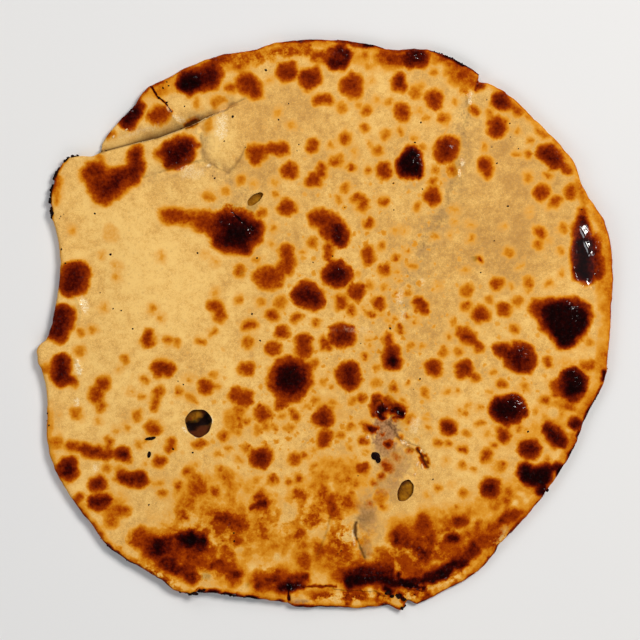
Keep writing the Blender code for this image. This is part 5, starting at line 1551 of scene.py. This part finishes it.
def browning_level(nodes, place):
    """How browned the skin is: the level stored on its points, made uneven, with freckles and flecks."""
    crusty = nodes.attribute("crusty")
    fried = nodes.noise(place, 1.5, 5.0, 0.72)
    level = nodes.attribute("browning")
    swing = nodes.times(nodes.math("SUBTRACT", fried, 0.5), nodes.math("MINIMUM", level, 0.5))
    swing = nodes.times(swing, nodes.rise(level, 0.5, 0.9, 1.6, 1.2), nodes.rise(crusty, 0.0, 1.0, 1.0, 1.8))
    level = nodes.math("ADD", swing, level)
    golden = nodes.times(nodes.rise(level, 0.1, 0.25), nodes.rise(level, 0.5, 0.7, 1.0, 0.0))
    blotches = nodes.rise(nodes.noise(place, 4.4, 3.0, 0.6), 0.44, 0.56, -0.3, 0.3)
    level = nodes.math("ADD", level, nodes.times(blotches, golden, crusty))

    ragged = nodes.warped(place, 1.6, 2.2)
    small = nodes.times(nodes.freckles(ragged, 5.2, 0.7, 0.3, 1.2, 1), 0.38)
    tiny = nodes.times(nodes.freckles(ragged, 2.8, 0.6, 0.1, 0.7, 2), 0.28)
    scattered = nodes.times(nodes.math("MAXIMUM", small, tiny), nodes.attribute("freckled"))
    level = nodes.math("MAXIMUM", level, scattered)
    level = nodes.math("ADD", level, nodes.times(scattered, golden, 0.7))
    flecks = nodes.rise(nodes.noise(place, 0.8, 3.0, 0.6), 0.54, 0.68)
    return nodes.scaled(nodes.times(flecks, nodes.rise(crusty, 0.4, 1.0)), 0.42, level)


def dough_material():
    """Fried dough: browned skin with worn flour, exposed dough, painted highlights and painted shade, raw
    dough inside, and films of oil.
    """
    nodes = Nodes("browned_dough")
    place = nodes.millimetres()
    coarse = nodes.noise(place, 3.2, 4.0)
    medium = nodes.noise(place, 1.1, 3.0)
    grain = nodes.noise(place, 0.35, 2.0, 0.6)
    level = browning_level(nodes, place)
    stops = [(position / DARKEST, colour) for position, colour in BROWNING_STOPS]
    browned = nodes.ramp(nodes.times(level, 1.0 / DARKEST), stops)
    colour = unbrowned_colour(nodes, place, coarse, medium, grain)
    colour = nodes.mix(nodes.rise(level, 0.02, 0.22), colour, browned)
    light = nodes.rise(level, 0.34, 0.6, 0.85, 0.0)
    colour = nodes.tint(colour, srgb(128, 98, 34), nodes.attribute("olive"), light)
    # pinkish-grey exposed dough, and painted shade in the same colour
    bare_and_shade_colour = nodes.mix(nodes.rise(medium, 0.35, 0.65), srgb(118, 74, 50), srgb(176, 128, 90))
    colour = nodes.tint(colour, bare_and_shade_colour, nodes.attribute("bare_and_shade"), light)
    # pale flakes and flour, and painted highlights, broken up by fine noise
    flour_and_highlight_grain = nodes.rise(nodes.noise(place, 0.6, 2.0), 0.4, 0.58, 0.15, 0.95)
    colour = nodes.tint(colour, srgb(252, 230, 184), nodes.attribute("pale"), flour_and_highlight_grain)
    colour = nodes.tint(colour, srgb(70, 36, 8), nodes.attribute("shade"), 0.92)
    raw = nodes.mix(coarse, srgb(226, 196, 140), srgb(196, 158, 98))
    raw = nodes.mix(nodes.rise(nodes.attribute("browning"), 0.1, 0.7), raw, srgb(46, 14, 4))
    colour = nodes.mix(nodes.attribute("raw"), colour, raw)

    # oil lies as a smooth film on the glazed blisters, and in patches and droplets elsewhere
    gloss = nodes.attribute("gloss")
    smooth = nodes.rise(gloss, 0.8, 0.95)
    droplets = nodes.times(nodes.noise(place, 1.4, 2.0), nodes.scaled(smooth, -0.9, 1.0))
    oily = nodes.scaled(nodes.rise(level, 0.7, 1.0), 0.4, gloss)
    patchy = nodes.math("MAXIMUM", smooth, nodes.rise(nodes.noise(place, 1.2, 2.0), 0.57, 0.64))
    return nodes.surface(
        Base_Color=colour,
        Roughness=nodes.rise(medium, 0.2, 0.8, 0.5, 0.66),
        Specular_IOR_Level=0.01,
        Normal=nodes.bump(nodes.scaled(grain, 0.35, nodes.times(medium, 0.8)), 0.25, 0.55),
        Coat_Weight=nodes.math("MULTIPLY", nodes.times(oily, patchy), 0.9, clamp=True),
        Coat_Roughness=0.12,
        Coat_IOR=1.9,
        Coat_Normal=nodes.bump(droplets, 0.5, 0.6),
    )


def mash_material():
    """Spiced potato: ochre, with bits of herb and chilli, red lumps, and painted shade under the edge of the
    skin and in the gaps.
    """
    nodes = Nodes("spiced_potato_mash")
    place = nodes.millimetres()
    fine = nodes.noise(place, 0.5, 3.0)
    colour = nodes.ramp(nodes.noise(place, 2.4, 4.0), POTATO_STOPS)
    colour = nodes.tint(colour, srgb(66, 66, 16), nodes.freckles(place, 2.6, 0.3, 0.1, 0.6, 5), 0.8)
    colour = nodes.tint(colour, srgb(112, 30, 10), nodes.freckles(place, 4.3, 0.25, 0.1, 0.6, 6), 0.8)
    colour = nodes.tint(colour, srgb(72, 22, 12), nodes.attribute("red"), 0.9)
    colour = nodes.tint(colour, srgb(64, 24, 8), nodes.attribute("shade"))
    # painted shade, nearly black, in the gaps between the lumps
    colour = nodes.tint(colour, srgb(20, 5, 3), nodes.attribute("painted_gap_shade"))
    return nodes.surface(
        Base_Color=colour,
        Roughness=nodes.rise(fine, 0.2, 0.8, 0.32, 0.6),
        Specular_IOR_Level=0.05,
        Normal=nodes.bump(fine, 0.3, 0.7),
    )


def char_material():
    """Black and dark brown char."""
    nodes = Nodes("charred_dough")
    shade = nodes.noise(nodes.millimetres(), 0.6, 3.0)
    return nodes.surface(
        Base_Color=nodes.mix(nodes.rise(shade, 0.45, 0.8), srgb(9, 4, 4), srgb(62, 24, 10)),
        Roughness=nodes.rise(shade, 0.3, 0.7, 0.35, 0.7),
        Specular_IOR_Level=0.04,
        Normal=nodes.bump(shade, 0.2, 0.8),
    )


def flake_material():
    """Pale flakes of torn skin."""
    nodes = Nodes("pale_flake")
    shade = nodes.noise(nodes.millimetres(), 0.9, 3.0)
    return nodes.surface(
        Base_Color=nodes.mix(nodes.rise(shade, 0.35, 0.7), srgb(222, 168, 104), srgb(246, 212, 158)),
        Roughness=0.6,
        Specular_IOR_Level=0.1,
    )


# ---------------------------------------------------------------- pieces
SHARP_ANGLE = math.radians(55)  # edges that bend more are shown as edges


def dress(obj, material, node=None):
    """Gives a piece its material and its body, and hides the model's node that it stands in for."""
    obj.data.materials.clear()
    obj.data.materials.append(material)
    obj.data.shade_smooth()
    obj.data.set_sharp_from_angle(angle=SHARP_ANGLE)
    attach(obj, "root")
    if node:
        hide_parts(node)


def make_dough():
    """The bread's dough, with its hollow, its burst holes, the open seam and the crack in the edge."""
    dough = make_skin()
    cutters = [make_layer("hollow", HOLLOW_CELLS, CLEARANCE)]
    cutters += [make_punch(index, hole) for index, hole in enumerate(BURST_HOLES)]
    cutters.append(make_blade("seam_blade", SEAM[1:], SLOT_WIDTH, SLOT_FLOOR, 5))
    cutters.append(make_blade("crack_blade", CRACK, CRACK_WIDTH, CRACK_FLOOR, 6))
    cut_away(dough, cutters)
    paint_skin(dough.data)
    lay_out(dough.data)
    dress(dough, dough_material(), "dough")


def void_amount(x, y):
    """How deep a place lies in the gaps between the lumps of potato, which are sunk and darkened with painted
    shade.
    """
    level = np.max([mound(x, y, *oval) for oval in VOIDS], axis=0)
    return smooth_step(0.22, 0.48, level + layered_noise(x, y, VOID_EDGES))


def red_amount(x, y):
    """How much a place lies on one of the dark red lumps."""
    return np.max([smooth_step(0.3, 0.6, mound(x, y, *oval)) for oval in RED_LUMPS], axis=0)


def hole_shade(x, y):
    """The shade of the skin on the filling, inside the upper left edge of each hole."""
    ragged = layered_noise(x, y, SHADE_EDGES)
    shade = np.zeros_like(x)
    for oval, strength in zip(BURST_HOLES, HOLE_SHADES):
        near = depth_in_oval(x, y, *oval) > -1.0
        inside = depth_in_oval(x - 0.5, y + 0.5, *oval)
        shade += strength * near * (1.0 - smooth_step(0.0, 0.7, inside + ragged))
    return shade


def mash_relief(x, y):
    """Lumps of potato, and the gaps that show through the round burst hole."""
    relief = layered_noise(x, y, MASH_RELIEF) - MASH_LOWERING
    for oval, lift in zip(BURST_HOLES, HOLE_LIFTS):
        relief = relief + lift * smooth_step(-1.5, 0.3, depth_in_oval(x, y, *oval))
    return relief - VOID_DEPTH * void_amount(x, y)


def make_filling():
    """The layer of potato inside the bread."""
    mash = make_layer("potato_mash", MASH_CELLS, 0.0, mash_relief)
    x, y, _ = places(mash.data).T
    set_attribute(mash.data, "painted_gap_shade", void_amount(x, y))
    set_attribute(mash.data, "shade", hole_shade(x, y))
    set_attribute(mash.data, "red", red_amount(x, y))
    dress(mash, mash_material(), "potato_filling")


def add_lump(bm, place, size, turn, draw):
    """Adds one small uneven lump, or a flat flake where its height is small."""
    made = bmesh.ops.create_icosphere(bm, subdivisions=2, radius=0.5)["verts"]
    bumps = [(Vector(draw.normal(size=3)).normalized(), draw.uniform(0.12, 0.45)) for _ in range(7)]
    for vert in made:
        way = vert.co.normalized()
        uneven = 1.0 + sum(amount * max(way.dot(aim), 0.0) ** 3 for aim, amount in bumps) - 0.25
        along, across, up = (vert.co[k] * uneven * size[k] for k in range(3))
        right, away = turned(along, across, -turn)
        vert.co = Vector((place[0] + right, place[1] + away, place[2] + up)) * MM


def make_lumps(name, lumps, material, seed):
    """One piece made of many small lumps, each a place, a size and a turn."""
    draw = np.random.default_rng(seed)
    bm = bmesh.new()
    for place, size, turn in lumps:
        add_lump(bm, place, size, turn, draw)
    dress(new_mesh_object(name, to_mesh(bm, name)), material)


def on_top(x, y, gap=0.0):
    """The place a little above the bread's top at an x and y."""
    return x, y, float(top_height(np.array([float(x)]), np.array([float(y)]))[0]) + gap


def make_flecks(charred):
    """Black dots and bits on the top."""
    flecks = []
    for x, y, radius in DOTS:
        flecks.append((on_top(x, y), (2.0 * radius, 1.8 * radius, 0.8 * radius), 40.0 * x))
    for x, y, width, height, turn in BLACK_BITS:
        flecks.append((on_top(x, y, 0.1), (width, height, 0.9), turn))
    make_lumps("char_flecks", flecks, charred, 81)


def make_crumbs(charred):
    """Charred crumbs along the edge."""
    draw = np.random.default_rng(82)
    crumbs = []
    for start, end, count, radius, outward in CRUMBS:
        for degrees in draw.uniform(start, end, count):
            angle = np.array([math.remainder(math.radians(degrees), math.tau)])
            size = 2.0 * radius * draw.uniform(0.5, 1.15)
            x, y = polar(outline_radius(angle) + outward - draw.uniform(0.0, 0.5), angle)
            z = underside(0.0, angle)[0] + draw.uniform(0.9, 2.4)
            place = (float(x[0]), float(y[0]), float(z))
            crumbs.append((place, (size, 0.9 * size, 0.8 * size), draw.uniform(0.0, 180.0)))
    make_lumps("rim_crumbs", crumbs, charred, 83)


def make_flakes():
    """Loose flakes of skin on the top."""
    flakes = []
    for x, y, width, height, turn in FLAKES:
        flakes.append((on_top(x, y, 0.08), (width, height, 0.5), turn))
    make_lumps("skin_flakes", flakes, flake_material(), 84)


# ---------------------------------------------------------------- floor, lights and camera
FRAME_WIDTH = 256.0         # how much of the bread's plane the picture spans
CAMERA_PLACE = (-2.0, 2.0)  # its x and y
CAMERA_HEIGHT = 1200.0
SENSOR = 36.0               # width of the camera's sensor
# Lights: name, direction and height in degrees, distance and size in metres, power and colour
LIGHTS = (
    ("key", 38, 50, 1.7, 0.7, 24.0, (1.0, 0.97, 0.93)),
    ("fill_left", 200, 34, 2.0, 1.2, 10.0, (0.92, 0.96, 1.0)),
    ("fill_front", 285, 36, 2.0, 1.2, 9.0, (0.95, 0.97, 1.0)),
    ("fill_back", 110, 36, 2.0, 1.2, 9.0, (0.97, 0.98, 1.0)),
)


def add_floor():
    """A pale floor just under the bread."""
    bpy.ops.mesh.primitive_plane_add(size=3.0, location=(0.0, 0.0, -0.0002))
    floor = bpy.context.object
    floor.name = "floor"
    nodes = Nodes("pale_floor")
    shade = nodes.noise(nodes.millimetres(), 220.0, 2.0)
    floor.data.materials.append(nodes.surface(
        Base_Color=nodes.mix(shade, (0.74, 0.74, 0.75, 1.0), (0.80, 0.79, 0.77, 1.0)),
        Roughness=0.7,
        Specular_IOR_Level=0.2,
    ))
    floor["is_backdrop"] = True


def add_light(name, azimuth, elevation, distance, size, power, colour):
    """A round lamp that looks at the middle of the bread."""
    light = bpy.data.lights.new(name, "AREA")
    light.shape = "DISK"
    light.size = size
    light.energy = power
    light.color = colour
    lamp = bpy.data.objects.new(name, light)
    bpy.context.scene.collection.objects.link(lamp)
    azimuth, elevation = math.radians(azimuth), math.radians(elevation)
    flat = distance * math.cos(elevation)
    lamp.location = (flat * math.cos(azimuth), flat * math.sin(azimuth), distance * math.sin(elevation))
    lamp.rotation_euler = lamp.location.to_track_quat("Z", "Y").to_euler()


def add_lights():
    """The lamps, and a faint even light all round."""
    for light in LIGHTS:
        add_light(*light)
    world = bpy.data.worlds.new("studio")
    world.use_nodes = True
    background = world.node_tree.nodes["Background"]
    background.inputs["Color"].default_value = (0.93, 0.96, 1.0, 1.0)
    background.inputs["Strength"].default_value = 0.06
    bpy.context.scene.world = world


def add_camera():
    """The camera straight above, as in the photo."""
    camera = bpy.data.cameras.new("camera")
    camera.sensor_width = SENSOR
    camera.lens = SENSOR * (CAMERA_HEIGHT - MIDDLE_THICKNESS) / FRAME_WIDTH
    obj = bpy.data.objects.new("camera", camera)
    obj.location = (CAMERA_PLACE[0] * MM, CAMERA_PLACE[1] * MM, CAMERA_HEIGHT * MM)
    bpy.context.scene.collection.objects.link(obj)
    bpy.context.scene.camera = obj


def corners():
    """The whole model's box as plain numbers."""
    return [[float(value) for value in corner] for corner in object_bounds()]


def build_scene():
    """Everything from an empty scene."""
    for obj in list(bpy.data.objects):
        bpy.data.objects.remove(obj)
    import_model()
    make_dough()
    make_filling()
    charred = char_material()
    make_flecks(charred)
    make_crumbs(charred)
    make_flakes()
    add_floor()
    add_lights()
    add_camera()
    bpy.context.scene.view_settings.view_transform = "Standard"


build_scene()
